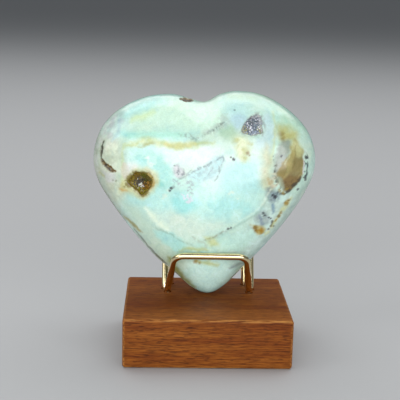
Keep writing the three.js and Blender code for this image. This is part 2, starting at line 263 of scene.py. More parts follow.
# The markings of the face, painted in this order: mostly the stone's own, and a few painted highlights and
# painted shade.
# Places are mm across and up from the tip.
# area: a closed outline. line: points with a half width each. spots: places with a radius each.
# soft: the width of the blurred edge. warp: how far the edge wanders. broken: how much of the marking is
# missing, in bits of the size grain. mottle: a second colour, its size and its share.
# The noise of a marking is seeded by its place in this order, so a new one goes last.
faceMarks = {
    "white cloud": {"colour": "e8f4f4", "soft": 12, "warp": 3, "strength": 0.8,
        "area": [(-27, 70), (-7, 70), (6, 66), (22, 66), (20, 54), (8, 50), (-4, 54), (-12, 61),
                 (-26, 64)]},
    "pale cyan right of the middle": {"colour": "b2e2e6", "soft": 9, "warp": 3, "strength": 0.85,
        "area": [(3, 61), (20, 64), (23, 56), (21, 48), (7, 49)]},
    "mint cloud": {"colour": "d8f0e2", "soft": 10, "warp": 3, "strength": 0.7,
        "area": [(-24, 90), (-8, 90), (4, 92), (6, 82), (-2, 77), (-20, 78), (-34, 80)]},
    "cyan sheet": {"colour": "b6eaec", "soft": 12, "warp": 3, "strength": 0.75,
        "mottle": ("d6f6f2", 4.0, 0.7),
        "area": [(-27, 49), (-14, 50), (-2, 48), (10, 50), (20, 46), (17, 39), (4, 36), (-12, 39),
                 (-24, 40)]},
    "teal lobe": {"colour": "8ed2ce", "soft": 4.5, "warp": 2.5, "strength": 0.8,
        "mottle": ("c2eae4", 3.4, 0.6),
        "area": [(-34, 68), (-27, 68.5), (-22, 64.5), (-17, 60), (-14, 55), (-19, 51), (-25, 52), (-27, 60),
                 (-33, 62)]},
    "teal patch by the left rim": {"colour": "a0dcda", "soft": 3, "warp": 1.5, "strength": 0.7,
        "area": [(-44, 77), (-36, 77), (-33, 75), (-38, 74), (-43, 74)]},
    "teal band": {"colour": "b4e8dc", "soft": 4, "warp": 1.5, "strength": 0.7,
        "area": [(-37, 76), (-28, 77), (-17, 76.5), (-13, 74.5), (-20, 72.5), (-30, 74), (-37, 73.5)]},
    "blue rim at the upper left": {"colour": "9ddfe4", "soft": 7, "warp": 2, "strength": 0.6,
        "area": [(-44, 83), (-36, 90), (-24, 93), (-24, 89), (-36, 84), (-44, 78)]},
    "lilac left shoulder": {"colour": "aeb2ba", "soft": 6, "warp": 2.5, "strength": 0.75,
        "mottle": ("c4dcd8", 2.4, 0.8),
        "area": [(-52, 74), (-48, 81), (-42, 85), (-41, 79), (-46, 71), (-51, 66)]},
    "lilac upper right": {"colour": "c0e2e6", "soft": 8, "warp": 2.5, "strength": 0.7,
        "area": [(4, 91), (14, 90), (18, 84), (12, 79), (6, 82)]},
    "lilac by the right lobe": {"colour": "c8dce8", "soft": 4, "warp": 1.5, "strength": 0.65,
        "area": [(24, 86), (28, 84), (28, 71), (23, 69), (19, 72), (23, 77)]},
    "lilac haze left of the druse": {"colour": "b4cfe2", "soft": 3.5, "warp": 1.5, "strength": 0.65,
        "area": [(9, 84), (13, 86), (15, 83), (13, 79), (10, 79)]},
    "green right lobe": {"colour": "c4dcc0", "soft": 9, "warp": 2.5, "strength": 0.7,
        "mottle": ("b2dcc4", 4.0, 0.6),
        "area": [(28, 92), (36, 88), (44, 79), (41, 76), (32, 82), (29, 86)]},
    "olive top rim": {"colour": "b9cfa4", "soft": 4, "warp": 1.5, "strength": 0.5,
        "area": [(8, 96), (28, 94), (27, 92), (10, 93.5)]},
    "cream left flank": {"colour": "e2e4d0", "soft": 8, "warp": 2.5, "strength": 0.75,
        "mottle": ("b9b49a", 3.0, 0.6),
        "area": [(-50, 72), (-42, 71), (-40, 60), (-40, 48), (-46, 43), (-51, 53), (-53, 62)]},
    "grey left rim": {"colour": "a9a695", "soft": 7, "warp": 2, "strength": 0.65,
        "mottle": ("8b887a", 2.4, 0.6),
        "area": [(-55, 74), (-51.5, 72), (-51, 62), (-45, 46), (-38, 36), (-44, 40), (-56, 55)]},
    "cream lower face": {"colour": "e0ebe2", "soft": 9, "warp": 3, "strength": 0.7,
        "area": [(-26, 40), (-10, 38), (8, 36), (2, 30), (-10, 28), (-20, 32)]},
    "sage lower left": {"colour": "ccdccc", "soft": 9, "warp": 3, "strength": 0.7,
        "area": [(-42, 44), (-28, 40), (-22, 30), (-18, 16), (-28, 20), (-38, 34)]},
    "grey green lower right": {"colour": "d6eeee", "soft": 6, "warp": 2, "strength": 0.75,
        "mottle": ("b0c6c2", 2.2, 0.6),
        "area": [(27, 50), (41, 47), (36, 34), (25, 22), (14, 14), (8, 26), (18, 36), (24, 44)]},
    "pale blue window": {"colour": "b4e4e4", "soft": 2.5, "warp": 1.5, "strength": 0.8,
        "area": [(-26, 31), (-20, 31), (-13, 27), (-11, 22), (-17, 22), (-24, 27)]},
    "mint under the crack": {"colour": "c6ece6", "soft": 5, "warp": 2, "strength": 0.6,
        "area": [(4, 28), (14, 33), (22, 30), (16, 23), (6, 22)]},
    "foot": {"colour": "dcfaf8", "soft": 6, "warp": 2, "strength": 0.8,
        "area": [(-10, 15), (0, 17), (10, 15), (6, 6), (0, 3), (-6, 6)]},
    "olive streak": {"colour": "d6e6ae", "soft": 3, "warp": 1.4, "strength": 0.6,
        "line": [(-37, 81.5, 0.9), (-32, 83.5, 1.3), (-27, 85.5, 0.8)]},
    "yellow band": {"colour": "bcc680", "soft": 3.0, "warp": 1.1, "strength": 0.85,
        "mottle": ("d4dcb0", 2.2, 0.7),
        "line": [(-39, 69.8, 0.8), (-35, 71.3, 1.2), (-31, 72.2, 1.4), (-26, 72, 1.4), (-20, 70.8, 1.6),
                 (-10, 70.8, 1.5), (-4, 71.4, 0.7), (1, 72, 0.3)]},
    "yellow blotch": {"colour": "b6b460", "soft": 2.4, "warp": 1.2, "strength": 0.75,
        "mottle": ("ccc87e", 1.4, 0.6),
        "line": [(-21, 70.6, 0.8), (-17, 70.2, 1.4), (-12, 70.8, 1.2), (-8, 71, 0.6)]},
    "ochre edge of the band": {"colour": "a2a24c", "soft": 1.7, "warp": 0.9, "strength": 0.75,
        "broken": 0.2,
        "line": [(-33.4, 69.3, 0.2), (-31.2, 70.4, 0.4), (-29.2, 71.4, 0.8), (-26.6, 71.4, 0.5)]},
    "green line left": {"colour": "cdd8a6", "soft": 1.6, "warp": 0.8, "strength": 0.7,
        "broken": 0.3, "line": [(-35, 71.5, 0.3), (-40, 71, 0.5), (-40.6, 62, 0.5), (-40.6, 50, 0.7)]},
    "pale olive halo of the pocket": {"colour": "d6cf9a", "soft": 2.8, "warp": 1.3, "strength": 0.75,
        "mottle": ("bcb068", 1.8, 0.5),
        "area": [(-42, 52), (-39, 57), (-34, 60.5), (-29, 60), (-25, 57), (-24, 53), (-27, 48.5),
                 (-31.5, 45.5), (-36, 47.5), (-41, 48.5)]},
    "ochre seam of the pocket": {"colour": "98823a", "soft": 1.0, "warp": 0.8, "strength": 0.9,
        "mottle": ("5e4a14", 1.0, 0.85),
        "area": [(-38.8, 53), (-37.4, 56.6), (-34, 57.6), (-31, 58.7), (-28, 57.4), (-26.2, 54.8),
                 (-26.8, 52), (-28.8, 49.4), (-31.2, 47), (-33.6, 48.6), (-35.4, 50.6), (-38.4, 51.4)]},
    "crumbs round the pocket": {"colour": "7a6c22", "soft": 1.4, "warp": 0.8, "strength": 0.8,
        "broken": 0.47, "grain": 1.0,
        "area": [(-40, 52.6), (-38.6, 56.6), (-36, 58.4), (-33, 57.4), (-30.6, 59.4), (-27.8, 58.2),
                 (-25.8, 55.6), (-26.4, 51.8), (-28.4, 49), (-30.8, 46.2), (-34, 48.2), (-36.2, 50.2),
                 (-39.6, 50.8)]},
    "orange right rim of the pocket": {"colour": "bca05c", "soft": 0.8, "warp": 1.0, "strength": 0.8,
        "broken": 0.35, "grain": 1.0,
        "line": [(-29.5, 58, 0.4), (-27.2, 56, 0.6), (-26.4, 53, 0.7), (-27.6, 50.2, 0.4)]},
    "orange streak": {"colour": "c79a4c", "soft": 1.2, "warp": 0.6, "strength": 0.7,
        "line": [(-42.4, 50.3, 0.2), (-41, 49.9, 0.6), (-38.8, 49.3, 0.3)]},
    "olive rim streaks": {"colour": "9a8a3a", "soft": 1.2, "warp": 0.8, "strength": 0.8,
        "line": [(-40, 36.8, 0.3), (-36.5, 33.5, 0.7), (-32, 29.8, 0.4)]},
    "upper olive rim streak": {"colour": "a89a5a", "soft": 1.6, "warp": 0.8, "strength": 0.6,
        "line": [(-47, 43, 0.5), (-43, 38, 0.6)]},
    # A painted highlight: a pale streak where the gloss reflects the light on the lower left.
    "painted highlight streak": {"colour": "f0faec", "soft": 3.2, "warp": 1.2, "strength": 0.85,
        "line": [(-29.5, 41, 0.8), (-24.5, 36, 1.5), (-19.5, 31.5, 0.8)]},
    # A painted reflection: a darker line where the reflected light ends on the lower left, just below the
    # pale streak.
    "painted dark edge of the reflection": {"colour": "8fae9c", "soft": 1.0, "warp": 0.8, "strength": 0.6,
        "broken": 0.3, "line": [(-25, 32.3, 0.2), (-19, 30, 0.4), (-13.5, 27, 0.25), (-8, 24.5, 0.2)]},
    "foot olive edge": {"colour": "a3a552", "soft": 2.6, "warp": 1, "strength": 0.85,
        "mottle": ("7e8038", 1.6, 0.7),
        "line": [(-19, 17.5, 0.8), (-15.5, 12, 1.3), (-11.5, 7.5, 1.1), (-6.5, 3, 0.7)]},
    "yellow above the bar": {"colour": "bdbf7c", "soft": 2.2, "warp": 1.1, "strength": 0.75,
        "line": [(-14, 22, 0.5), (-8, 23.2, 0.8), (-2, 22.6, 0.6)]},
    "yellow pool": {"colour": "cdd39a", "soft": 3, "warp": 1.2, "strength": 0.8,
        "area": [(-2.5, 29), (2.5, 28.5), (4, 25.5), (0, 24.5)]},
    "grey swirls": {"colour": "aeb6a4", "soft": 1.2, "warp": 1.4, "strength": 0.55,
        "broken": 0.35,
        "line": [(-8.5, 29, 0.3), (-6, 26.5, 0.5), (-2.5, 26, 0.4), (-3, 23, 0.3), (0.5, 27.5, 0.3)]},
    "olive under the bar": {"colour": "c2c77c", "soft": 2.4, "warp": 0.9, "strength": 0.8,
        "line": [(-5, 16.8, 0.6), (0, 16, 0.9), (4, 15.2, 0.5)]},
    "orange under the bar": {"colour": "a98a34", "soft": 1.2, "warp": 0.5, "strength": 0.8,
        "spots": [(-6.5, 17, 1.0), (-4.5, 16.4, 0.6)]},
    "violet mark of the foot": {"colour": "93a0a6", "soft": 1.5, "warp": 0.8, "strength": 0.75,
        "broken": 0.3, "line": [(10, 13.3, 0.6), (13, 14.6, 0.9), (16, 15.4, 0.5)]},
    "cyan heart": {"colour": "96e2e6", "soft": 5, "warp": 1.8, "strength": 0.6,
        "area": [(-17, 47), (-9, 47), (-7, 42), (-13, 40), (-17, 43)]},
    "lilac sparkle": {"colour": "e8e2f2", "soft": 1.4, "warp": 1.4, "strength": 0.85,
        "broken": 0.44, "grain": 0.9, "spots": [(-11, 47, 2.1), (-13, 48.5, 1.0), (-9, 46.3, 1.0)]},
    "frost flecks": {"colour": "dcebe4", "soft": 1.2, "warp": 1.2, "strength": 0.8,
        "broken": 0.45, "grain": 1.0,
        "spots": [(-22, 47.5, 1.6), (-20, 49.5, 0.9), (-27.5, 62.5, 1.8), (-29.5, 65, 1.0), (9, 49, 1.2),
                  (12, 46, 0.9)]},
    "cream blotch": {"colour": "dce2be", "soft": 3.2, "warp": 1.6, "strength": 0.85,
        "mottle": ("b9bc7e", 1.8, 0.6),
        "area": [(9.5, 76), (15, 74.5), (17.5, 70), (16.5, 64.5), (12.5, 64), (11, 70)]},
    "ochre clouds in the blotch": {"colour": "bcbc78", "soft": 2, "warp": 1.2, "strength": 0.7,
        "spots": [(10.5, 73.5, 1.4), (15, 68.5, 1.4), (14.5, 65.5, 1.0), (17, 72, 0.8)]},
    "brown dot": {"colour": "8a7440", "soft": 0.8, "warp": 0.5, "strength": 0.8,
        "spots": [(16.3, 67.8, 0.8), (16.9, 66.7, 0.5)]},
    "frost round the grey druse": {"colour": "949a9c", "soft": 1.6, "warp": 0.7, "strength": 0.7,
        "broken": 0.46, "grain": 1.1,
        "area": [(12.6, 77), (15, 82), (17.6, 84.6), (21, 86.6), (23.4, 84.6), (24.2, 79), (23, 76),
                 (19, 75.2), (14, 75.8)]},
    "grey green swirl": {"colour": "accab2", "soft": 3, "warp": 1.6, "strength": 0.7,
        "area": [(4, 78), (8, 80), (11, 77), (9.5, 72.5), (5.5, 73)]},
    "cream column": {"colour": "ced0b0", "soft": 4.5, "warp": 1.5, "strength": 0.85,
        "mottle": ("bcb894", 2.2, 0.6),
        "line": [(25, 70, 1.6), (25, 62, 2.4), (24.5, 56, 1.9), (27, 51.5, 1.2)]},
    "yellow edge of the column": {"colour": "d3d48e", "soft": 1.8, "warp": 0.8, "strength": 0.55,
        "line": [(28.3, 87, 0.2), (28.8, 80, 0.3), (28.5, 73, 0.4), (27, 65, 0.3)]},
    "pink patch": {"colour": "bca072", "soft": 1.8, "warp": 1.1, "strength": 0.8,
        "spots": [(26.8, 54.5, 1.4), (28, 52.8, 1.0), (25.8, 56, 0.7)]},
    "stain above the honey": {"colour": "c2be78", "soft": 4.5, "warp": 1.8, "strength": 0.85,
        "mottle": ("b4a858", 2.0, 0.5),
        "area": [(30.5, 80.5), (35, 79.5), (39.5, 77.5), (39, 73.5), (33, 73), (30.5, 76)]},
    "rust above the honey": {"colour": "8a753a", "soft": 2.8, "warp": 1.6, "strength": 0.75,
        "spots": [(31.8, 77.5, 1.3), (32.6, 75, 1.4), (33.6, 73.5, 0.8)]},
    "grey bank of the honey": {"colour": "929c94", "soft": 2.6, "warp": 1.4, "strength": 0.9,
        "mottle": ("a4aaa0", 1.2, 0.5),
        "area": [(30, 71), (34, 73.5), (37, 72), (35, 67), (32, 62.5), (30.6, 57.5), (28.6, 56), (28, 62)]},
    "white frost of the bank": {"colour": "a6aca4", "soft": 2.4, "warp": 1.4, "strength": 0.6,
        "broken": 0.4, "grain": 1.2,
        "area": [(32, 67), (35, 69.5), (36.4, 69), (33.4, 64), (31, 60), (30.4, 63)]},
    "honey": {"colour": "a08f58", "soft": 1.4, "warp": 1.1, "strength": 0.95,
        "mottle": ("7c683a", 3.2, 0.5),
        "area": [(39, 74), (42, 69.5), (43, 63.5), (42.8, 59), (40.7, 55), (36.5, 50.3), (33, 51.5),
                 (30.6, 57.5), (32, 62.5), (35.3, 67), (36.8, 71)]},
    "pale top of the honey": {"colour": "d0d2a2", "soft": 3, "warp": 1.2, "strength": 0.8,
        "area": [(37.5, 73.5), (40, 73.5), (42.4, 69), (40.5, 67), (37, 69)]},
    "brown foot of the honey": {"colour": "86683a", "soft": 2.6, "warp": 1.2, "strength": 0.8,
        "mottle": ("4c3818", 1.4, 0.5), "area": [(32.5, 58), (38, 57.5), (41, 56), (36.5, 51), (33.5, 52)]},
    "veils in the honey": {"colour": "b8ac74", "soft": 2.4, "warp": 1.6, "strength": 0.6,
        "area": [(36.5, 71), (38.5, 69), (37.5, 62), (35.5, 57.5), (33, 57), (33.5, 62), (35.5, 66)]},
    "facet edges in the honey": {"colour": "7a6a3c", "soft": 0.8, "warp": 1.0, "strength": 0.55,
        "broken": 0.4,
        "line": [(38.8, 71.5, 0.15), (38.6, 65, 0.25), (36.4, 58.5, 0.2), (38, 56.5, 0.25),
                 (41.5, 59, 0.2)]},
    "dark rim of the honey": {"colour": "3b3222", "soft": 0.9, "warp": 0.9, "strength": 0.9,
        "broken": 0.35, "grain": 1.0,
        "line": [(41.5, 57, 0.4), (40.3, 54.8, 0.6), (38, 52.3, 0.7), (35.5, 50.2, 0.8), (32, 49.3, 0.6)]},
    "ochre under the honey": {"colour": "a38a3c", "soft": 1.4, "warp": 0.8, "strength": 0.75,
        "spots": [(33.5, 49.6, 0.9), (31.5, 50.6, 0.8), (35, 51.5, 0.6)]},
    "blue black rim specks": {"colour": "20222e", "soft": 0.9, "warp": 1.3, "strength": 0.9,
        "broken": 0.46, "grain": 0.9,
        "line": [(44.2, 69, 0.4), (44.4, 66, 0.9), (43.9, 62.5, 1.1), (43.5, 59.5, 1.2), (43.9, 56, 0.8)]},
    "frost by the pink patch": {"colour": "d8d4c0", "soft": 1.2, "warp": 1.4, "strength": 0.8,
        "broken": 0.45, "grain": 1.2, "area": [(27, 58.5), (30, 58.5), (31, 54.5), (29, 52.5), (27, 54)]},
    "dark seams of the bank": {"colour": "4c4a40", "soft": 0.9, "warp": 1.4, "strength": 0.75,
        "broken": 0.5, "grain": 0.9,
        "line": [(28, 66, 0.4), (29.5, 61, 0.6), (28.6, 57.5, 0.6), (30.5, 53.5, 0.8), (31.5, 50.5, 0.8),
                 (29, 48.6, 0.7)]},
    "blue grey cloud": {"colour": "8a98a6", "soft": 2.6, "warp": 1.8, "strength": 0.75,
        "mottle": ("46546a", 1.1, 0.7), "broken": 0.3,
        "area": [(26, 52), (30, 50.5), (31, 47), (29, 45), (26, 47)]},
    "cloud by the orange patch": {"colour": "9eaaae", "soft": 2.6, "warp": 1.6, "strength": 0.7,
        "mottle": ("6c7c90", 1.0, 0.6), "broken": 0.3,
        "area": [(21.5, 40), (25, 41), (27.5, 37), (26, 34), (22, 34.5)]},
    "ink dots": {"colour": "1d2230", "soft": 0.6, "warp": 0.5, "strength": 0.95,
        "spots": [(32, 66.5, 0.6), (29.6, 47.6, 0.9), (28.4, 48.4, 0.6), (40.5, 51, 0.55), (24.2, 40, 0.6),
                  (25, 38.9, 0.5), (29, 35.6, 0.85), (28.6, 34, 0.7), (27.4, 32.2, 0.6), (27, 38, 0.45),
                  (29.8, 33.6, 0.45), (9.3, 33.1, 0.6), (8.2, 32.7, 0.5), (28, 37.3, 0.5), (9.8, 65, 0.65),
                  (8.6, 65.8, 0.4), (10, 87.4, 0.4), (-18.3, 51.2, 0.6), (-19, 50, 0.5),
                  (23.5, 37.4, 0.4)]},
    "blue streak": {"colour": "5d7fa6", "soft": 1.4, "warp": 0.7, "strength": 0.75,
        "line": [(28.6, 44.3, 0.4), (28.9, 42, 0.6), (29, 40, 0.35)]},
    "violet smear": {"colour": "8794ac", "soft": 2, "warp": 1, "strength": 0.7,
        "line": [(22.6, 38.5, 0.5), (23.2, 36, 0.8), (23.6, 33.5, 0.5)]},
    "cream diagonal": {"colour": "dcdc9c", "soft": 2.2, "warp": 1.2, "strength": 0.75,
        "broken": 0.25,
        "line": [(37.5, 47, 0.6), (34, 42, 0.8), (31, 37, 0.8), (28, 31.5, 0.6), (26, 30, 0.6)]},
    "ochre blobs": {"colour": "a8862a", "soft": 1.0, "warp": 1.0, "strength": 0.9,
        "mottle": ("5e4814", 0.9, 0.8),
        "spots": [(35.5, 44.6, 1.2), (36.3, 46, 0.7), (32, 38.2, 1.0), (30.8, 36.4, 0.6), (33, 39.8, 0.6),
                  (28.2, 33, 0.5)]},
    "ochre ground of the orange patch": {"colour": "bca94e", "soft": 1.6, "warp": 1.4, "strength": 0.8,
        "area": [(19, 34.6), (22.5, 34), (25.6, 33), (25.4, 30.8), (22.5, 29.8), (20.2, 31.6)]},
    "orange patch": {"colour": "b28a24", "soft": 1.2, "warp": 1.2, "strength": 0.95,
        "mottle": ("8a5a18", 1.0, 0.6), "spots": [(24.2, 31.9, 1.2), (22.3, 31.2, 0.8), (24.6, 30.8, 0.6)]},
    "rust in the orange patch": {"colour": "7c5a22", "soft": 1.0, "warp": 1.0, "strength": 0.9,
        "mottle": ("a0802e", 0.8, 0.5), "spots": [(20.4, 33.2, 1.1), (21, 31.8, 0.7)]},
    # Painted reflection and shade: a pale line where the reflected light ends on the lower right, along a
    # faint crack, with painted shade below it.
    "painted pale edge of the reflection along the crack": {"colour": "e6efe4", "soft": 1.0, "warp": 0.6, "strength": 0.5,
        "broken": 0.3,
        "line": [(26.8, 51, 0.3), (24.5, 46, 0.35), (22.5, 43, 0.3), (19.5, 40.5, 0.3), (16, 38, 0.25),
                 (12, 35.5, 0.25), (8.5, 33, 0.2)]},
    "shade under the crack": {"colour": "93b3a8", "soft": 1.6, "warp": 0.6, "strength": 0.5,
        "line": [(27, 49, 0.3), (25, 44.5, 0.4), (20, 39, 0.4), (13, 34.8, 0.4), (8, 31.8, 0.35),
                 (2, 28.5, 0.3), (-2, 27.4, 0.25)]},
    "brown line of the crack": {"colour": "8a8468", "soft": 0.8, "warp": 0.6, "strength": 0.6,
        "broken": 0.3, "line": [(8, 32.4, 0.2), (4, 30.4, 0.3), (0, 28.3, 0.3), (-3, 27.4, 0.2)]},
    "dendrites": {"colour": "8c9890", "soft": 1.2, "warp": 2.2, "strength": 0.6,
        "broken": 0.48, "grain": 0.8,
        "line": [(-16, 75.4, 0.5), (-13.5, 74.6, 0.9), (-11, 75, 0.9), (-8.5, 74.2, 0.9), (-6, 74.6, 0.5),
                 (-4, 75.6, 0.3)]},
    "haze round the trail": {"colour": "b4c2bc", "soft": 2.4, "warp": 1.8, "strength": 0.6,
        "broken": 0.3, "line": [(-4, 76.8, 0.6), (0, 78, 1.2), (3, 80, 1.8), (6, 82.6, 1.6)]},
    "grey speckle trail": {"colour": "7e8a88", "soft": 1.2, "warp": 1.6, "strength": 0.7,
        "broken": 0.5, "grain": 0.6,
        "line": [(-4, 75.6, 0.2), (-1, 77, 0.4), (1.5, 78.6, 0.9), (3.6, 80.2, 1.2), (5.4, 81.8, 0.7)]},
    "fracture cluster": {"colour": "d0ccd8", "soft": 2.0, "warp": 1.8, "strength": 0.8,
        "mottle": ("848c98", 1.0, 0.5),
        "area": [(-18.5, 60), (-16.5, 63), (-14.5, 61.5), (-12, 59.5), (-11.5, 57.5), (-14.5, 55.5),
                 (-17.5, 57)]},
    "cracks of the cluster": {"colour": "58626c", "soft": 0.8, "warp": 1.4, "strength": 0.75,
        "broken": 0.47, "grain": 0.8,
        "line": [(-17.5, 62, 0.3), (-15.5, 60, 0.6), (-15.8, 57.5, 0.7), (-13, 58, 0.5), (-12.5, 60, 0.3)]},
    "fracture tail": {"colour": "6a777c", "soft": 0.7, "warp": 1.2, "strength": 0.65,
        "broken": 0.45, "line": [(-18.8, 50.6, 0.3), (-15.5, 54, 0.3), (-12.5, 57, 0.3), (-9, 59.5, 0.25)]},
    "leaf veil": {"colour": "b4dde6", "soft": 2.0, "warp": 1.6, "strength": 0.75,
        "mottle": ("8ba3b0", 1.2, 0.45),
        "area": [(-10.5, 57), (-7, 60.5), (-3.5, 63), (1, 65.2), (5, 66.5), (3.8, 61.5), (1.5, 57),
                 (-3, 54.5), (-8, 54.5)]},
    "leaf fracture": {"colour": "70808a", "soft": 1.1, "warp": 1.4, "strength": 0.7,
        "broken": 0.42, "grain": 0.9,
        "line": [(-12, 55.6, 0.3), (-9.6, 57.6, 0.4), (-7, 59.6, 0.5), (-3.5, 61.6, 0.6), (0.4, 63.6, 0.5),
                 (4.4, 65, 0.6), (4.4, 62, 0.4), (3.4, 58.5, 0.5), (1, 55.4, 0.3)]},
    "leaf veins": {"colour": "8298a0", "soft": 0.8, "warp": 1.8, "strength": 0.65,
        "broken": 0.5,
        "line": [(-8.5, 58.2, 0.2), (-4, 60, 0.3), (0, 62.6, 0.3), (-2, 58, 0.2), (-4.5, 55.5, 0.2),
                 (-7.5, 56.6, 0.2)]},
    "lilac below the fissure": {"colour": "c6c4ce", "soft": 2.2, "warp": 1.2, "strength": 0.6,
        "area": [(-50, 58), (-47.5, 56.8), (-44, 56.6), (-44.6, 53.4), (-48.2, 53)]},
    "pale block above the pocket": {"colour": "d8cec2", "soft": 1.3, "warp": 0.8, "strength": 0.7,
        "area": [(-41, 61.6), (-38.2, 61.2), (-38.2, 57), (-39.4, 55), (-40.8, 56.5)]},
    "lilac white above the pocket": {"colour": "dcdce2", "soft": 2.0, "warp": 1.2, "strength": 0.6,
        "area": [(-38.4, 62), (-35, 62.6), (-34, 60.4), (-36.4, 59.4), (-38, 57.4)]},
    "olive dots": {"colour": "66664a", "soft": 0.7, "warp": 0.6, "strength": 0.85,
        "spots": [(-43.3, 53.9, 0.4), (-43.8, 53.2, 0.3), (-45, 53.8, 0.25)]},
    "olive smudge": {"colour": "a6a274", "soft": 1.6, "warp": 0.8, "strength": 0.65,
        "line": [(-51.6, 56.8, 0.3), (-50.2, 56.2, 0.6), (-49.2, 55.2, 0.3)]},
    "frosted left rim": {"colour": "d2d4d4", "soft": 1.4, "warp": 1.6, "strength": 0.6,
        "broken": 0.46, "grain": 1.3,
        "line": [(-45, 83, 0.8), (-49, 78, 1.4), (-52.2, 71.5, 1.2), (-53.6, 64, 0.9), (-52.8, 58, 0.7)]},
    "blue veil of the left shoulder": {"colour": "a8c8d2", "soft": 1.6, "warp": 1.0, "strength": 0.6,
        "line": [(-43, 82.5, 0.4), (-42.6, 78, 0.8), (-44.6, 74, 0.7), (-46, 71.5, 0.3)]},
    # Painted shade: a grey line along the left rim, where the stone turns away from the light.
    "painted shade along the left rim": {"colour": "7e8070", "soft": 0.9, "warp": 0.5, "strength": 0.65,
        "line": [(-54.2, 57.6, 0.15), (-52.2, 52.6, 0.3), (-48, 46.2, 0.35), (-43.8, 40, 0.3),
                 (-38.8, 33.6, 0.2)]},
    "left lobe of the honey": {"colour": "98854a", "soft": 1.2, "warp": 0.9, "strength": 0.85,
        "area": [(31.2, 61.4), (33.6, 62.4), (34.2, 58.6), (31.4, 56.4), (29.8, 58.4)]},
    "green frost under the left lobe": {"colour": "9aa48e", "soft": 1.2, "warp": 1.2, "strength": 0.7,
        "broken": 0.42, "grain": 1.1,
        "area": [(30, 56.4), (32.4, 57), (34.4, 52.6), (33.4, 50.4), (31.2, 52.6)]},
    "pale edge of the honey": {"colour": "cfd2ae", "soft": 0.8, "warp": 0.6, "strength": 0.7,
        "broken": 0.3, "line": [(37.2, 70.4, 0.25), (35.6, 66.4, 0.3), (33.4, 62.8, 0.25)]},
    "glints by the dark specks": {"colour": "e2e0e4", "soft": 0.7, "warp": 0.9, "strength": 0.8,
        "broken": 0.4, "grain": 0.9, "line": [(43.2, 65.4, 0.3), (43, 62, 0.35), (42.7, 58.8, 0.35)]},
    "shade of the upper rim": {"colour": "9fbab4", "soft": 3.6, "warp": 1.0, "strength": 0.65,
        "line": [(-43, 84.5, 0.4), (-31, 91, 0.9), (-19, 93.4, 0.9), (-10, 91.6, 0.7), (-3, 90, 0.5),
                 (4, 93.8, 0.8), (12, 95.2, 1.0), (24, 93.6, 1.0), (35.5, 87.4, 0.8), (44, 79.4, 0.4)]},
    "shade of the lower right rim": {"colour": "8fa8a0", "soft": 4, "warp": 1.4, "strength": 0.5,
        "line": [(46.4, 55, 0.5), (42, 47, 1.2), (36.5, 38.4, 1.4), (28.5, 28.4, 1.2), (20, 19, 0.6)]},
    "crackle below the cluster": {"colour": "8f96a4", "soft": 0.9, "warp": 1.6, "strength": 0.6,
        "broken": 0.47, "grain": 0.8,
        "line": [(-17, 55, 0.5), (-14.4, 53.6, 0.8), (-11, 54.4, 0.9), (-8, 53, 0.8), (-10.4, 50.8, 0.8),
                 (-8, 49.8, 0.4)]},
    # Painted shade: a dark line along the lower left rim, where the stone's underside falls into shadow.
    "painted shade along the lower left rim": {"colour": "4c5044", "soft": 1.0, "warp": 0.5, "strength": 0.8,
        "line": [(-35.4, 31, 0.2), (-31, 25.6, 0.35), (-27.6, 21.4, 0.5), (-24, 17.7, 0.45),
                 (-20, 14.4, 0.2)]},
}

# The back shows the same stone: its markings are fewer and softer.
backMarks = {
    "back cyan sheet": {"colour": "86e2e0", "soft": 14, "warp": 5, "strength": 0.7,
        "area": [(-36, 72), (-8, 76), (14, 66), (18, 48), (0, 42), (-24, 50)]},
    "back white cloud": {"colour": "f0fbf4", "soft": 12, "warp": 4, "strength": 0.7,
        "area": [(6, 88), (26, 88), (36, 76), (22, 70), (4, 76)]},
    "back cream band": {"colour": "d8dab0", "soft": 7, "warp": 3, "strength": 0.75,
        "mottle": ("b9bd86", 3.0, 0.5),
        "line": [(-48, 58, 1.2), (-36, 64, 2.8), (-24, 61, 1.4), (-10, 58, 2.2), (6, 59, 0.8),
                 (16, 62, 2.8), (34, 57, 1.2)]},
    "back honey": {"colour": "a8935a", "soft": 5, "warp": 2, "strength": 0.85,
        "mottle": ("c6bc8c", 3.0, 0.6),
        "area": [(35, 74), (39, 71), (42, 64), (40.5, 57), (36, 52.5), (33, 56), (34.5, 61), (32, 67)]},
    "back honey rim": {"colour": "463a26", "soft": 1.2, "warp": 1.2, "strength": 0.8,
        "broken": 0.4, "line": [(41, 55, 0.4), (36, 51, 0.6), (30, 53, 0.4)]},
    "back ochre stain": {"colour": "b49a4a", "soft": 2.6, "warp": 1.8, "strength": 0.8,
        "broken": 0.3, "line": [(-40, 46, 0.8), (-34, 40, 1.4), (-27, 33, 0.9)]},
    "back specks": {"colour": "2b3038", "soft": 0.8, "warp": 0.8, "strength": 0.85,
        "broken": 0.2,
        "spots": [(24, 40, 0.8), (26, 37.5, 0.6), (22, 35, 0.5), (28, 43, 0.5), (20, 38, 0.4),
                  (-22, 80, 0.6), (-20, 78.5, 0.4), (-44, 68, 0.5)]},
    "back grey veils": {"colour": "8d9b9b", "soft": 1.0, "warp": 2, "strength": 0.6,
        "broken": 0.45,
        "line": [(-24, 82, 0.3), (-14, 78, 0.5), (-6, 81, 0.4), (2, 72, 0.5), (10, 70, 0.3),
                 (14, 60, 0.3)]},
    "back sage foot": {"colour": "a9c9ae", "soft": 10, "warp": 3, "strength": 0.7,
        "area": [(-22, 24), (0, 30), (22, 24), (10, 8), (0, 3), (-10, 8)]},
}


# How noise works on the markings: lengths in mm, and the levels of noise between which it fades.
markNoise = {
    "curveSteps": 6, "margin": 4, "waveForWarp": 2.5, "leastWave": 1.2, "grain": 1.6,
    "brokenBelow": 0.08, "brokenAbove": 0.12, "mottleFrom": 0.38, "mottleTo": 0.62,
}


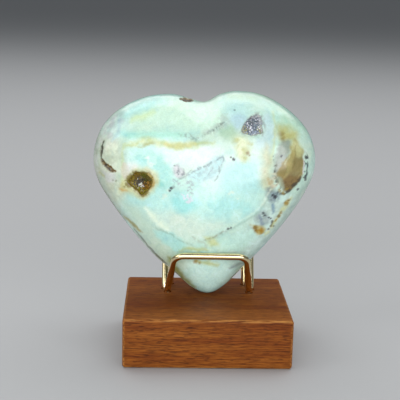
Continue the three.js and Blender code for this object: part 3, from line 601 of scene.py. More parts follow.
# Signed distance in mm from each place to a marking: negative inside it.
# An area takes the nearest edge and counts crossings; a line or a spot takes off its half width.
def distanceTo(mark, places):
    if "spots" in mark:
        rings = [np.hypot(places[:, 0] - x, places[:, 1] - y) - radius for x, y, radius in mark["spots"]]
        return np.min(rings, axis=0)
    closed = "area" in mark
    line = curveThrough(mark["area" if closed else "line"], closed, markNoise["curveSteps"])
    ends = np.roll(line, -1, axis=0) if closed else line[1:]
    nearest = np.full(len(places), np.inf)
    inside = np.zeros(len(places), bool)
    for start, end in zip(line, ends):
        way = end[:2] - start[:2]
        offset = places - start[:2]
        along = np.clip(offset @ way / max(way @ way, 1e-9), 0, 1)
        reach = np.hypot(*(offset - along[:, None] * way).T)
        if closed:
            crosses = (start[1] > places[:, 1]) != (end[1] > places[:, 1])
            rise = way[1] if abs(way[1]) > 1e-9 else 1e-9
            inside ^= crosses & (places[:, 0] < start[0] + way[0] * (places[:, 1] - start[1]) / rise)
        else:
            reach = reach - (start[2] + along * (end[2] - start[2]))
        nearest = np.minimum(nearest, reach)
    return np.where(inside, -nearest, nearest)


# How strongly a marking covers each place, from 0 to 1. Noise moves its edge and breaks it up.
def coverOf(mark, places, seed):
    shape = np.array([point[:2] for point in mark.get("area") or mark.get("line") or mark["spots"]], float)
    margin = markNoise["margin"] + mark["soft"] + mark["warp"]
    near = np.all((places > shape.min(0) - margin) & (places < shape.max(0) + margin), axis=1)
    cover = np.zeros(len(places))
    if not near.any():
        return cover
    some = places[near]
    lattice = np.c_[some, np.zeros(len(some))]
    size = max(markNoise["waveForWarp"] * mark["warp"], markNoise["leastWave"])
    shift = np.stack([layeredNoise(lattice, size, seed + k) - 0.5 for k in (0, 50)], axis=1) * 2
    distance = distanceTo(mark, some + mark["warp"] * shift)
    part = smoothStep(mark["soft"] / 2, -mark["soft"] / 2, distance) * mark["strength"]
    if "broken" in mark:
        grain = layeredNoise(lattice, mark.get("grain", markNoise["grain"]), seed + 90)
        low, high = mark["broken"] - markNoise["brokenBelow"], mark["broken"] + markNoise["brokenAbove"]
        part = part * smoothStep(low, high, grain)
    cover[near] = part
    return cover


# The colour of a marking at each place: its own, mottled with a second one of a size in mm, up to a share.
def hueOf(mark, places, seed):
    hue = np.tile(linear(mark["colour"])[:3], (len(places), 1))
    if "mottle" in mark:
        other, size, share = mark["mottle"]
        grain = layeredNoise(places, size, seed, layers=4)
        grain = smoothStep(markNoise["mottleFrom"], markNoise["mottleTo"], grain)[:, None] * share
        hue = hue * (1 - grain) + np.array(linear(other)[:3]) * grain
    return hue


# The stone's own colour clouds, from which the markings start. A pair gives the levels of noise between
# which a cloud or a veil fades in. rimFrom is the sine of the polar angle where the rim starts to darken.
# front gives the depths in mm between which the face's markings fade in. A tone under darkBelow dulls the
# gloss, and a cover under leastCover is left out.
opalClouds = {
    "mint": "c8e4da", "cyan": "b6e0e0", "cream": "dae2d2", "shade": "bed0cc", "stretch": (0.6, 0.9, 1.2),
    "cloudSize": 26, "cloud": (0.35, 0.65), "veilSize": 9, "veil": (0.4, 0.75), "veilShare": 0.5,
    "rimFrom": 0.62, "rimShade": 0.2, "front": (3, -2), "darkBelow": 0.45, "leastCover": 0.002,
}


# Colours every point of the skin: clouds by noise stretched along the bedding, darker to the rim, and then
# the markings. Also gives how dark the markings are at each point, from 0 to 1.
def opalColours(flatPlaces, polar):
    def colour(name):
        return np.array(linear(opalClouds[name])[:3])

    stretched = flatPlaces * np.array(opalClouds["stretch"])
    cloud = smoothStep(*opalClouds["cloud"], layeredNoise(stretched, opalClouds["cloudSize"], 3))[:, None]
    veil = smoothStep(*opalClouds["veil"], layeredNoise(stretched, opalClouds["veilSize"], 21))[:, None]
    veil = veil * opalClouds["veilShare"]
    paint = colour("mint") * (1 - cloud) + colour("cyan") * cloud
    paint = paint * (1 - veil) + colour("cream") * veil
    edge = smoothStep(opalClouds["rimFrom"], 1.0, np.sin(polar))[:, None] * opalClouds["rimShade"]
    paint = paint * (1 - edge) + colour("shade") * edge
    stain = np.zeros(len(paint))
    face = flatPlaces[:, [0, 2]]
    front = smoothStep(*opalClouds["front"], flatPlaces[:, 1])
    for marks, side, seed in ((faceMarks, front, 100), (backMarks, 1 - front, 700)):
        for k, mark in enumerate(marks.values()):
            cover = coverOf(mark, face, seed + 3 * k) * side
            marked = cover > opalClouds["leastCover"]
            part = cover[marked]
            hue = hueOf(mark, flatPlaces[marked], seed + 7 * k)
            paint[marked] = paint[marked] * (1 - part[:, None]) + hue * part[:, None]
            dark = 1 - np.minimum(hue.mean(axis=1) / opalClouds["darkBelow"], 1)
            stain[marked] = np.maximum(stain[marked] * (1 - part), part * dark)
    return paint, stain


# The open fissures: points across and up from the tip, with a half width each. The first two are one crack
# that turns and widens.
fissures = {
    "upper crack by the left rim": {
        "dark": "26281c", "edge": "56583f",
        "line": [(-50, 71.6, 0.2), (-50.7, 69, 0.45), (-50.8, 66, 0.5), (-51.1, 64, 0.4),
                 (-50.4, 62.6, 0.5)]},
    "lower crack by the left rim": {
        "dark": "2e2408", "edge": "75591a",
        "line": [(-50.6, 63, 0.4), (-49.6, 61.6, 0.8), (-47.8, 60, 1.1), (-45.8, 58.6, 0.95),
                 (-44.2, 58.2, 0.4)]},
    "fissure by the notch": {
        "dark": "33290a", "edge": "75591a",
        "line": [(-14.6, 91.8, 0.4), (-12.6, 91.8, 1.1), (-10.6, 91.6, 1), (-8.8, 91.4, 0.4)]},
}


# What the fissures share, in mm: their depth, the lumps left in them, how ragged they run, the distances
# from the edge between which the wall sinks, and how far each colour reaches past it. There are none behind
# farBehind.
fissureShape = {
    "depth": 0.9, "lump": 0.5, "lumpSize": 1.1, "lumpNoise": (0.35, 0.6), "ragged": 1.2, "raggedSize": 1.4,
    "wall": (0.3, -0.7), "edgeReach": 0.3, "darkReach": 0.1, "colourSoft": 0.5,
    "farBehind": 4, "farOff": 9.0,
}


# A value, colour or vector for every point of a piece, for its material to read.
def storeAttribute(piece, name, kind, values):
    attribute = piece.data.attributes.new(name, kind, "POINT")
    key = {"FLOAT": "value", "FLOAT_COLOR": "color", "FLOAT_VECTOR": "vector"}[kind]
    attribute.data.foreach_set(key, np.asarray(values, np.float32).ravel())


# The grid of the stone: rings spaced evenly by their length over a section of mean size, from the front to
# the back. Gives the places, the ways out of the skin, the polar angles and the number of rings.
def heartGrid():
    polars = np.linspace(0, np.pi, heart["ringSamples"] + 1)
    section = np.stack([heart["meanReach"] * np.sin(polars) ** (2 / heart["flatness"]),
                        heart["thickness"] / 2 * np.cos(polars)], axis=1)
    length = np.r_[0, np.cumsum(np.hypot(*np.diff(section, axis=0).T))]
    half = length[heart["ringSamples"] // 2]
    stops = np.r_[np.linspace(0, half, heart["frontRings"] + 1)[1:],
                  np.linspace(half, length[-1], heart["backRings"] + 1)[1:-1]]
    polar = np.interp(stops, length, polars)
    turn = np.arange(heart["columns"]) / heart["columns"]
    polarGrid, turnGrid = np.meshgrid(polar, turn, indexing="ij")
    front, back = [skinAt(np.array(end), np.array(0.0)) for end in (0.0, np.pi)]
    places = np.vstack([front, skinAt(polarGrid, turnGrid).reshape(-1, 3), back])
    outward = np.vstack([[0, -1, 0], outwardAt(polarGrid, turnGrid).reshape(-1, 3), [0, 1, 0]])
    return places, outward, np.r_[0, polarGrid.ravel(), np.pi], len(polar)


# Lays a colour over the paint as far as the cover says, and stains the stone there.
def coat(paint, stain, cover, hexColour):
    paint = paint * (1 - cover[:, None]) + np.array(linear(hexColour)[:3]) * cover[:, None]
    return paint, np.maximum(stain, cover)


# Sinks the two pockets and colours their walls.
def cutPockets(places, sunk, paint, stain):
    form = pocketShape
    for pocket in pockets.values():
        middle, axes = faceFrame(*pocket["middle"])
        local = (places - middle) @ axes.T
        reach = np.hypot(local[:, 0], local[:, 1]) / rimReach(pocket, np.arctan2(local[:, 1], local[:, 0]))
        depth = np.interp(reach, form["reach"], form["sink"]) * pocket["depth"]
        worn = smoothStep(form["wornReach"], 1.0, reach) * form["wornDepth"]
        isNear = (local[:, 2] > form["farBehind"]) & (reach < form["farReach"])
        sunk = sunk - np.where(isNear, np.maximum(depth, worn), 0)
        ragged = reach + form["ragged"] * (layeredNoise(places, form["raggedSize"], 80) - 0.5)
        cover = np.where(isNear, smoothStep(*form["wallColour"], ragged), 0)
        paint, stain = coat(paint, stain, cover, pocket["wall"])
    return sunk, paint, stain


# Sinks the fissures less the lumps in them, colours their edges and darkens what is deep.
def cutFissures(places, sunk, paint, stain):
    form = fissureShape
    face = places[:, [0, 2]]
    isFront = places[:, 1] < form["farBehind"]
    for number, fissure in enumerate(fissures.values()):
        ragged = form["ragged"] * (layeredNoise(places, form["raggedSize"], 40 + number) - 0.5)
        distance = np.where(isFront, distanceTo(fissure, face) + ragged, form["farOff"])
        lumps = smoothStep(*form["lumpNoise"], layeredNoise(places, form["lumpSize"], 60 + number))
        wall = smoothStep(*form["wall"], distance)
        sunk = sunk - wall * (form["depth"] - form["lump"] * lumps)
        for colour, reach, part in (("edge", form["edgeReach"], 1), ("dark", form["darkReach"], lumps)):
            cover = smoothStep(reach, reach - form["colourSoft"], distance) * part
            paint, stain = coat(paint, stain, cover, fissure[colour])
    return sunk, paint, stain


# The polished stone: a slight wave of the polish over its skin, with the pockets and fissures sunk in it.
def makeHeart(material):
    places, outward, polar, ringCount = heartGrid()
    wave = (layeredNoise(places, heart["waveSize"], 5, layers=2) - 0.5) * 2 * heart["polishWave"]
    sunk = wave - heart["polishWave"] - heart["inset"]
    paint, stain = opalColours(places, polar)
    sunk, paint, stain = cutPockets(places, sunk, paint, stain)
    sunk, paint, stain = cutFissures(places, sunk, paint, stain)
    faces = ringFaces(ringCount, heart["columns"])
    points = leanBack(places + outward * sunk[:, None])
    piece = makePiece("opalHeart", points, faces, material, "opal_heart")
    storeAttribute(piece, "opalColour", "FLOAT_COLOR", np.c_[paint, np.ones(len(paint))])
    storeAttribute(piece, "stain", "FLOAT", stain)
    return piece


# Polished common opal: milky and slightly see-through, with a waxy gloss. The eye gets a soft depth under a
# broad reflection, and fine cloud inside the stone.
def polishedOpal():
    look = {"scatterMm": 1.6, "cloudMm": 3.5, "grainMm": 0.7, "roughness": 0.15, "stained": 0.34}
    material, tree = newMaterial("polished common opal")
    coordinates = addNode(tree, "ShaderNodeTexCoord")
    painted = addNode(tree, "ShaderNodeAttribute", {"attribute_name": "opalColour"})
    stain = addNode(tree, "ShaderNodeAttribute", {"attribute_name": "stain"})
    cloud = addNode(tree, "ShaderNodeTexNoise", values={
        "Scale": 1 / (look["cloudMm"] * mm), "Detail": 5, "Roughness": 0.6, "Distortion": 0.8},
        links={"Vector": coordinates.outputs["Object"]})
    cloudTint = addNode(tree, "ShaderNodeValToRGB", links={"Fac": cloud.outputs["Fac"]},
                        ramp=[(0.3, "e6f0ee"), (0.7, "ffffff"), (0.52, "f6faf2")])
    grain = addNode(tree, "ShaderNodeTexNoise", values={
        "Scale": 1 / (look["grainMm"] * mm), "Detail": 3, "Roughness": 0.7},
        links={"Vector": coordinates.outputs["Object"]})
    grainTint = addNode(tree, "ShaderNodeValToRGB", links={"Fac": grain.outputs["Fac"]},
                        ramp=[(0.3, "f2f2ee"), (0.6, "ffffff")])
    clouded = addNode(tree, "ShaderNodeMix", {"data_type": "RGBA", "blend_type": "MULTIPLY"}, {0: 1.0},
                      {6: painted.outputs["Color"], 7: cloudTint.outputs["Color"]})
    grained = addNode(tree, "ShaderNodeMix", {"data_type": "RGBA", "blend_type": "MULTIPLY"}, {0: 1.0},
                      {6: clouded.outputs[2], 7: grainTint.outputs["Color"]})
    gloss = addNode(tree, "ShaderNodeMapRange", values={
        "To Min": look["roughness"], "To Max": look["stained"]}, links={"Value": stain.outputs["Fac"]})
    bump = addNode(tree, "ShaderNodeBump", values={"Strength": 0.08, "Distance": 0.1 * mm},
                   links={"Height": grain.outputs["Fac"]})
    shader = addNode(tree, "ShaderNodeBsdfPrincipled", values={
        "IOR": 1.45, "Subsurface Weight": 0.35, "Subsurface Radius": (1.0, 1.0, 0.9),
        "Subsurface Scale": look["scatterMm"] * mm, "Coat Weight": 0.5, "Coat Roughness": 0.13},
        links={"Base Color": grained.outputs[2], "Roughness": gloss.outputs["Result"],
               "Normal": bump.outputs["Normal"]})
    addNode(tree, "ShaderNodeOutputMaterial", links={"Surface": shader.outputs["BSDF"]})
    return material


# The druse crusts. Crystal sizes are in mm. A crystal takes the colour of the nearest patch, and patches
# are placed in mm right of and above the pocket's middle.
crusts = {
    "brownDruse": {
        "pocket": "brown", "node": "brown_druse_crust", "slot": "brown_quartz_druse", "seed": 7,
        "floor": "5c4a12", "rimColour": "6a5a1a",
        "patches": [("5a5c16", (1.5, 2.6)), ("4c4814", (2.6, 1.6)), ("a07a30", (3.2, -0.4)),
                    ("8c641e", (2.4, -1.8)), ("98961e", (0.4, -3.4)), ("7e7016", (-0.6, -4.4)),
                    ("a89a34", (-4.6, -1.2)), ("92801e", (-3.8, 1.2)), ("7a6418", (-2.6, 3.0)),
                    ("4a4a46", (-2.2, -0.2)), ("6a6458", (-1.2, 1.4)), ("3e3a30", (0.4, 1.2)),
                    ("5e4c1e", (1.0, -1.8))],
        "clear": "f6f5ee", "clearAt": (-0.3, -0.9), "clearReach": 0.95, "sparkle": 0.012,
        "crystals": 420, "radius": (0.2, 0.46), "height": (0.5, 1.1), "lumps": 0.55},
    "greyDruse": {
        "pocket": "grey", "node": "grey_druse_crust", "slot": "grey_quartz_druse", "seed": 19,
        "floor": "66707a", "rimColour": "b4b7b8",
        "patches": [("868c92", (1.0, 4.0)), ("747c84", (0.2, 2.2)), ("a2aab2", (2.6, 1.4)),
                    ("6c747c", (-0.8, 0.4)), ("96a2ae", (1.2, -0.6)), ("a8ac84", (3.6, -1.4)),
                    ("8494a4", (-0.4, -2.4)), ("b8b890", (-3.6, -1.8)), ("8a949e", (-2.4, -0.6)),
                    ("a6b4c4", (1.4, -3.0))],
        "clear": "fafaff", "clearAt": (-0.5, -1.0), "clearReach": 0.7, "sparkle": 0.12,
        "crystals": 420, "radius": (0.18, 0.42), "height": (0.5, 1.0), "lumps": 0.35},
}

# What both crusts share. Lengths are in mm, a reach is a share of the way to the rim, and a sink is a share
# of the pocket's depth. A stray is the spread of a seeded draw, and shade is the range of a crystal's tone.
# The lumps and the rim's colour each fade in from the first reach given to the second.
crustForm = {
    "gap": 0.06, "wall": 0.9, "sides": 72, "innerRings": 16, "innerReach": (0.06, 0.94),
    "bedReach": [0, 0.6, 0.84, 0.94], "bedSink": [0.98, 0.9, 0.42, 0.16],
    "outerReach": [0.95, 0.88, 0.62, 0.3], "outerSink": [0.25, 0.62, 0.92, 0.98],
    "lumpSize": 1.3, "lowestLump": -0.2, "lumpReach": (0.98, 0.7), "rimColour": (0.6, 0.95),
    "crystalReach": [0, 0.6, 0.84, 0.96], "crystalSink": [0.98, 0.9, 0.46, 0.24], "goldenAngle": 2.399963,
    "angleStray": 0.12, "thinnerAtRim": 0.35, "lowerAtRim": 0.45, "lean": -0.35, "tiltStray": 0.3,
    "patchStray": 0.7, "shade": (0.75, 1.25), "clearShare": 0.9,
}

# A crystal has 13 points: six at its foot in the bed, six at its shoulder, and its tip.
quartz = {"sides": 6, "points": 13, "footDepth": 0.35, "shoulderWidth": 0.96, "shoulderHeight": 0.5}


# How high the crust's surface stands over the hollow at a reach: a full wall inside, closing to the gap.
def crustHeight(reach, stops):
    wall, gap = crustForm["wall"], crustForm["gap"]
    return np.interp(reach, stops, [wall, wall, gap, gap])


# The crust's bed: a thin dish whose outer skin follows the hollow at an even gap, and whose inner skin is
# lumpy. Also gives the reach of each point.
def crustBed(pocket, settings):
    form = crustForm
    angle = np.arange(form["sides"]) / form["sides"] * 2 * np.pi
    rim = rimReach(pocket, angle)
    innerReach = np.linspace(*form["innerReach"], form["innerRings"])
    innerSink = np.interp(innerReach, form["bedReach"], form["bedSink"])
    innerHeight = crustHeight(innerReach, form["bedReach"])

    def ring(reach, height):
        radius = rim * reach - form["gap"]
        return np.stack([radius * np.cos(angle), radius * np.sin(angle), angle * 0 + height], axis=-1)

    innerLevel = innerHeight - innerSink * pocket["depth"]
    inner = np.array([ring(reach, level) for reach, level in zip(innerReach, innerLevel)])
    lump = layeredNoise(inner.reshape(-1, 3), form["lumpSize"], settings["seed"]) - 0.5
    lump = lump.reshape(inner.shape[:2]) * smoothStep(*form["lumpReach"], innerReach)[:, None]
    inner[:, :, 2] += np.maximum(lump, form["lowestLump"]) * settings["lumps"]
    outerLevel = form["gap"] - np.array(form["outerSink"]) * pocket["depth"]
    outer = np.array([ring(reach, level) for reach, level in zip(form["outerReach"], outerLevel)])
    rings = np.vstack([inner, outer])
    first = [0, 0, form["wall"] - form["bedSink"][0] * pocket["depth"]]
    last = [0, 0, form["gap"] - pocket["depth"]]
    reachOf = np.r_[0, np.repeat(np.r_[innerReach, form["outerReach"]], form["sides"]), 0]
    return np.vstack([first, rings.reshape(-1, 3), last]), ringFaces(len(rings), form["sides"]), reachOf


# Many quartz points at once, each tilted and turned: a six-sided ring at the foot, one at the shoulder, and
# a tip.
def quartzPoints(places, radius, height, tilt, spin):
    sides = quartz["sides"]
    angle = np.arange(sides) / sides * 2 * np.pi + spin[:, None]
    flat = np.stack([radius[:, None] * np.cos(angle), radius[:, None] * np.sin(angle)], axis=-1)

    def level(shape, z):
        return np.concatenate([shape, np.broadcast_to(z[:, None, None], (*shape.shape[:2], 1))], axis=-1)

    foot = level(flat, np.full(len(radius), -quartz["footDepth"]))
    shoulder = level(flat * quartz["shoulderWidth"], quartz["shoulderHeight"] * height)
    tip = level(flat[:, :1] * 0, height)
    points = np.concatenate([foot, shoulder, tip], axis=1)
    points[:, :, 0] += points[:, :, 2] * tilt[:, :1]
    points[:, :, 1] += points[:, :, 2] * tilt[:, 1:]
    points += places[:, None]
    k = np.arange(sides)
    after = (k + 1) % sides
    walls = np.stack([k, after, after + sides, k + sides], axis=-1)
    tips = np.stack([k + sides, after + sides, np.full(sides, 2 * sides)], axis=-1)
    start = np.arange(len(radius))[:, None, None] * quartz["points"]
    faces = [(walls + start).reshape(-1, 4), (tips + start).reshape(-1, 3), start[:, 0] + k[::-1]]
    return points.reshape(-1, 3), faces


# The colour of each crystal: that of the nearest patch, strayed and shaded a little. Some are clear.
def crystalColours(settings, spots, draw):
    count = len(spots)
    palette = np.array([linear(colour)[:3] for colour, _ in settings["patches"]])
    patches = np.array([place for _, place in settings["patches"]])
    strayed = spots + draw.normal(0, crustForm["patchStray"], (count, 2))
    picked = palette[np.argmin(np.linalg.norm(strayed[:, None] - patches, axis=2), axis=1)]
    picked = picked * draw.uniform(*crustForm["shade"], (count, 1))
    away = np.hypot(*(spots - settings["clearAt"]).T) / settings["clearReach"]
    chance = crustForm["clearShare"] * np.exp(-away ** 2) + settings["sparkle"]
    isClear = (draw.uniform(0, 1, count) < chance)[:, None]
    return np.where(isClear, np.array(linear(settings["clear"])[:3]), picked)


# A crust: its bed, and crystals set on it in a spiral of even spread. They are smaller by the rim, and lean
# inwards there.
def makeCrust(name, material):
    settings, form = crusts[name], crustForm
    pocket = pockets[settings["pocket"]]
    draw = np.random.default_rng(settings["seed"])
    bed, bedFaces, reachOf = crustBed(pocket, settings)
    count = settings["crystals"]
    share = np.sqrt((np.arange(count) + 0.5) / count) * form["crystalReach"][-1]
    angle = np.arange(count) * form["goldenAngle"] + draw.normal(0, form["angleStray"], count)
    outward = np.stack([np.cos(angle), np.sin(angle)], axis=-1)
    spots = (rimReach(pocket, angle) * share)[:, None] * outward
    sink = np.interp(share, form["crystalReach"], form["crystalSink"])
    level = crustHeight(share, form["crystalReach"]) - sink * pocket["depth"]
    radius = draw.uniform(*settings["radius"], count) * (1 - form["thinnerAtRim"] * share)
    height = draw.uniform(*settings["height"], count) * (1 - form["lowerAtRim"] * share)
    tilt = form["lean"] * share[:, None] * outward + draw.normal(0, form["tiltStray"], (count, 2))
    spin = draw.uniform(0, np.pi, count)
    points, faces = quartzPoints(np.c_[spots, level], radius, height, tilt, spin)
    picked = crystalColours(settings, spots, draw)
    floor, rimColour = [np.array(linear(settings[key])[:3]) for key in ("floor", "rimColour")]
    edge = smoothStep(*form["rimColour"], reachOf)[:, None]
    bedColours = floor * (1 - edge) + rimColour * edge
    colours = np.vstack([bedColours, np.repeat(picked, quartz["points"], axis=0)])
    allFaces = bedFaces + [face for kind in faces for face in (kind + len(bed)).tolist()]
    middle, axes = faceFrame(*pocket["middle"])
    allPoints = leanBack(middle + np.vstack([bed, points]) @ axes)
    piece = makePiece(name, allPoints, allFaces, material, settings["node"], smooth=False)
    storeAttribute(piece, "crystalColour", "FLOAT_COLOR", np.c_[colours, np.ones(len(colours))])
    return piece


# Druse quartz as grown: flat shiny faces, each at its own tilt, so that some flash white beside dark ones.
def drusyQuartz(name, stainHex, stainMm, roughness):
    material, tree = newMaterial(name)
    coordinates = addNode(tree, "ShaderNodeTexCoord")
    painted = addNode(tree, "ShaderNodeAttribute", {"attribute_name": "crystalColour"})
    film = addNode(tree, "ShaderNodeTexNoise", values={"Scale": 1 / (stainMm * mm), "Detail": 4},
                   links={"Vector": coordinates.outputs["Object"]})
    filmCover = addNode(tree, "ShaderNodeMapRange", values={
        "From Min": 0.45, "From Max": 0.75, "To Max": 0.55}, links={"Value": film.outputs["Fac"]})
    stained = addNode(tree, "ShaderNodeMix", {"data_type": "RGBA"}, {7: linear(stainHex)},
                      {0: filmCover.outputs["Result"], 6: painted.outputs["Color"]})
    shader = addNode(tree, "ShaderNodeBsdfPrincipled", values={
        "IOR": 1.55, "Roughness": roughness, "Subsurface Weight": 0.1, "Subsurface Scale": 0.4 * mm,
        "Coat Weight": 0.3, "Coat Roughness": 0.03}, links={"Base Color": stained.outputs[2]})
    addNode(tree, "ShaderNodeOutputMaterial", links={"Surface": shader.outputs["BSDF"]})
    return material


# The wires, in mm and degrees. back is how far behind the stand's origin a wire stands, and lean how far it
# leans back. foot is the width between its feet, bar the width between its corners, rise the way up the lean
# to the bar, and bend the radius of a corner. The steps divide each stretch of a wire's line.
wireShape = {
    "diameter": 3.11, "footDepth": 13, "bendHeight": 1, "bendReach": 0.8, "middle": 1.4, "sides": 36,
    "buriedSteps": 5, "footSteps": 6, "legSteps": 11, "bendSteps": 17, "barSteps": 9, "drawnStretch": 0.02,
}
wires = {
    "frontWire": {"node": "front_wire", "back": 40.1, "lean": -37.1, "rise": 26.8,
                  "foot": 39.2, "bar": 32.8, "bend": 4.8},
    "heelWire": {"node": "heel_wire", "back": 52.6, "lean": 8.8, "rise": 13.2,
                 "foot": 36.4, "bar": 35.4, "bend": 3.3},
    "rearWire": {"node": "rear_wire", "back": 45, "lean": 26.8, "rise": 45,
                 "foot": 41.6, "bar": 41.6, "bend": 4.8},
}


# Where a stretch is divided: shares from 0 to 1.
def evenShares(steps):
    return np.linspace(0, 1, steps + 1)


# The middle line of a wire: upright foot, a short bend where it leaves the wood, the leg, and a round
# corner that touches leg and bar. It is worked out on the right and mirrored to the left.
def wireLine(wire):
    foot = np.array([wire["foot"] / 2, 0])
    corner = np.array([wire["bar"] / 2, wire["rise"]])
    legWay = (foot - corner) / np.linalg.norm(foot - corner)
    barWay = np.array([-1.0, 0])
    half = math.acos(legWay @ barWay) / 2
    inward = (legWay + barWay) / np.linalg.norm(legWay + barWay)
    centre = corner + inward * wire["bend"] / math.sin(half)
    setback = wire["bend"] / math.tan(half)
    start, end = corner + legWay * setback - centre, corner + barWay * setback - centre
    startAngle, endAngle = math.atan2(start[1], start[0]), math.atan2(end[1], end[0])
    sweep = math.atan2(math.sin(endAngle - startAngle), math.cos(endAngle - startAngle))
    bend = startAngle + sweep * evenShares(wireShape["bendSteps"])
    arc = centre + wire["bend"] * np.stack([np.cos(bend), np.sin(bend)], axis=1)
    leg = foot - legWay * wireShape["bendReach"]
    straight = leg + (arc[0] - leg) * evenShares(wireShape["legSteps"])[1:-1, None]
    barEnd = np.array([0, wire["rise"]])
    bar = arc[-1] + (barEnd - arc[-1]) * evenShares(wireShape["barSteps"])[1:, None]
    flat = np.vstack([leg, straight, arc, bar])
    lean = math.radians(wire["lean"])
    lifted = np.stack([flat[:, 0], flat[:, 1] * math.sin(lean),
                       wireShape["bendHeight"] + flat[:, 1] * math.cos(lean)], axis=1)
    base = np.array([foot[0], 0, wireShape["bendHeight"]])
    low = base - np.array([0, 0, wireShape["bendReach"]])
    t = evenShares(wireShape["footSteps"])[:-1, None]
    footBend = (1 - t) ** 2 * low + 2 * t * (1 - t) * base + t ** 2 * lifted[0]
    end = np.array([foot[0], 0, -wireShape["footDepth"]])
    buried = end + (low - end) * evenShares(wireShape["buriedSteps"])[:-1, None]
    right = np.vstack([buried, footBend, lifted])
    left = right[:-1][::-1] * np.array([-1, 1, 1])
    return np.vstack([right, left])


# A round profile carried along a wire's line, with its sides kept square to the plane that the wire leans
# in. The attribute "drawn" unrolls it, for lines along the rod.
def makeWire(name, material):
    wire = wires[name]
    line = wireLine(wire)
    step = np.gradient(line, axis=0)
    along = step / np.linalg.norm(step, axis=1, keepdims=True)
    lean = math.radians(wire["lean"])
    across = np.array([0, math.cos(lean), -math.sin(lean)])
    side = across - (along @ across)[:, None] * along
    side /= np.linalg.norm(side, axis=1, keepdims=True)
    out = np.cross(along, side)
    angle = np.arange(wireShape["sides"]) / wireShape["sides"] * 2 * np.pi
    circle = out[:, None] * np.cos(angle)[:, None] + side[:, None] * np.sin(angle)[:, None]
    place = line + np.array([wireShape["middle"], wire["back"], 0]) + standOrigin
    rings = place[:, None] + circle * wireShape["diameter"] / 2
    points = np.vstack([place[0], rings.reshape(-1, 3), place[-1]])
    faces = ringFaces(len(line), wireShape["sides"])
    piece = makePiece(name, points, faces, material, wire["node"])
    travelled = np.r_[0, np.cumsum(np.linalg.norm(np.diff(line, axis=0), axis=1))]
    drawn = np.stack([np.tile(np.cos(angle), len(line)), np.tile(np.sin(angle), len(line)),
                      np.repeat(travelled, wireShape["sides"]) * wireShape["drawnStretch"]], axis=1)
    storeAttribute(piece, "drawn", "FLOAT_VECTOR", np.vstack([drawn[0], drawn, drawn[-1]]))
    return piece


# Polished brass rod: drawn through a die, so faint lines run along it under a bright gloss.
def polishedBrass():
    material, tree = newMaterial("polished brass rod")
    drawn = addNode(tree, "ShaderNodeAttribute", {"attribute_name": "drawn"})
    lines = addNode(tree, "ShaderNodeTexNoise", values={"Scale": 9.0, "Detail": 4, "Roughness": 0.6},
                    links={"Vector": drawn.outputs["Vector"]})
    tone = addNode(tree, "ShaderNodeValToRGB", links={"Fac": lines.outputs["Fac"]},
                   ramp=[(0.3, "e0cc92"), (0.7, "f2e4bc")])
    gloss = addNode(tree, "ShaderNodeMapRange", values={"To Min": 0.08, "To Max": 0.2},
                    links={"Value": lines.outputs["Fac"]})
    bump = addNode(tree, "ShaderNodeBump", values={"Strength": 0.06, "Distance": 0.05 * mm},
                   links={"Height": lines.outputs["Fac"]})
    shader = addNode(tree, "ShaderNodeBsdfPrincipled", values={"Metallic": 1.0},
                     links={"Base Color": tone.outputs["Color"], "Roughness": gloss.outputs["Result"],
                            "Normal": bump.outputs["Normal"]})
    addNode(tree, "ShaderNodeOutputMaterial", links={"Surface": shader.outputs["BSDF"]})
    return material


# The block and its six drilled holes, in mm. The drills start above the block's top.
block = {
    "size": (76, 63.5, 23), "edge": 1.5, "edgeSteps": 6, "holeRadius": 1.94, "holeSides": 36,
    "clearance": 0.35, "drillTop": 4, "weld": 0.01, "sharpDegrees": 35, "wearAndHighlightFrom": 0.1, "wearAndHighlightTo": 0.6,
}


# A rounded box: each point of its faces is held inside the box less its rounding, and then pushed out by
# the rounding.
def roundedBox():
    half = np.array(block["size"]) / 2
    edge = block["edge"]
    points, faces = [], []

    def stops(k):
        turn = np.tan(np.linspace(0, math.pi / 4, block["edgeSteps"] + 1)) * edge
        inner = half[k] - edge
        return np.r_[-inner - turn[::-1], inner + turn]

    for axis in range(3):
        u, v = (axis + 1) % 3, (axis + 2) % 3
        a, b = np.meshgrid(stops(u), stops(v), indexing="ij")
        for sign in (-1, 1):
            cube = np.zeros((*a.shape, 3))
            cube[..., u], cube[..., v], cube[..., axis] = a, b, sign * half[axis]
            held = np.clip(cube, edge - half, half - edge)
            outward = cube - held
            outward /= np.linalg.norm(outward, axis=-1, keepdims=True)
            index = sum(len(p) for p in points) + np.arange(a.size).reshape(a.shape)
            quads = np.stack([index[:-1, :-1], index[1:, :-1], index[1:, 1:], index[:-1, 1:]], axis=-1)
            quads = quads.reshape(-1, 4)
            faces += (quads if sign > 0 else quads[:, ::-1]).tolist()
            points.append((held + outward * edge).reshape(-1, 3))
    return np.vstack(points), faces


# Closed round bars that stand where the holes go, as one object to cut with.
def makeDrills():
    angle = np.arange(block["holeSides"]) / block["holeSides"] * 2 * np.pi
    circle = block["holeRadius"] * np.stack([np.cos(angle), np.sin(angle), angle * 0], axis=-1)
    top = np.array([0, 0, block["drillTop"]])
    low = np.array([0, 0, -wireShape["footDepth"] - block["clearance"]])
    points, faces = [], []
    for wire in wires.values():
        for side in (1, -1):
            foot = standOrigin + np.array([wireShape["middle"] + side * wire["foot"] / 2, wire["back"], 0])
            start = sum(len(p) for p in points)
            points.append(np.vstack([foot + top, foot + circle + top, foot + circle + low, foot + low]))
            faces += [[start + k for k in face] for face in ringFaces(2, block["holeSides"])]
    mesh = bpy.data.meshes.new("drills")
    mesh.from_pydata((np.vstack(points) * mm).tolist(), [], faces)
    drills = bpy.data.objects.new("drills", mesh)
    bpy.context.scene.collection.objects.link(drills)
    return drills
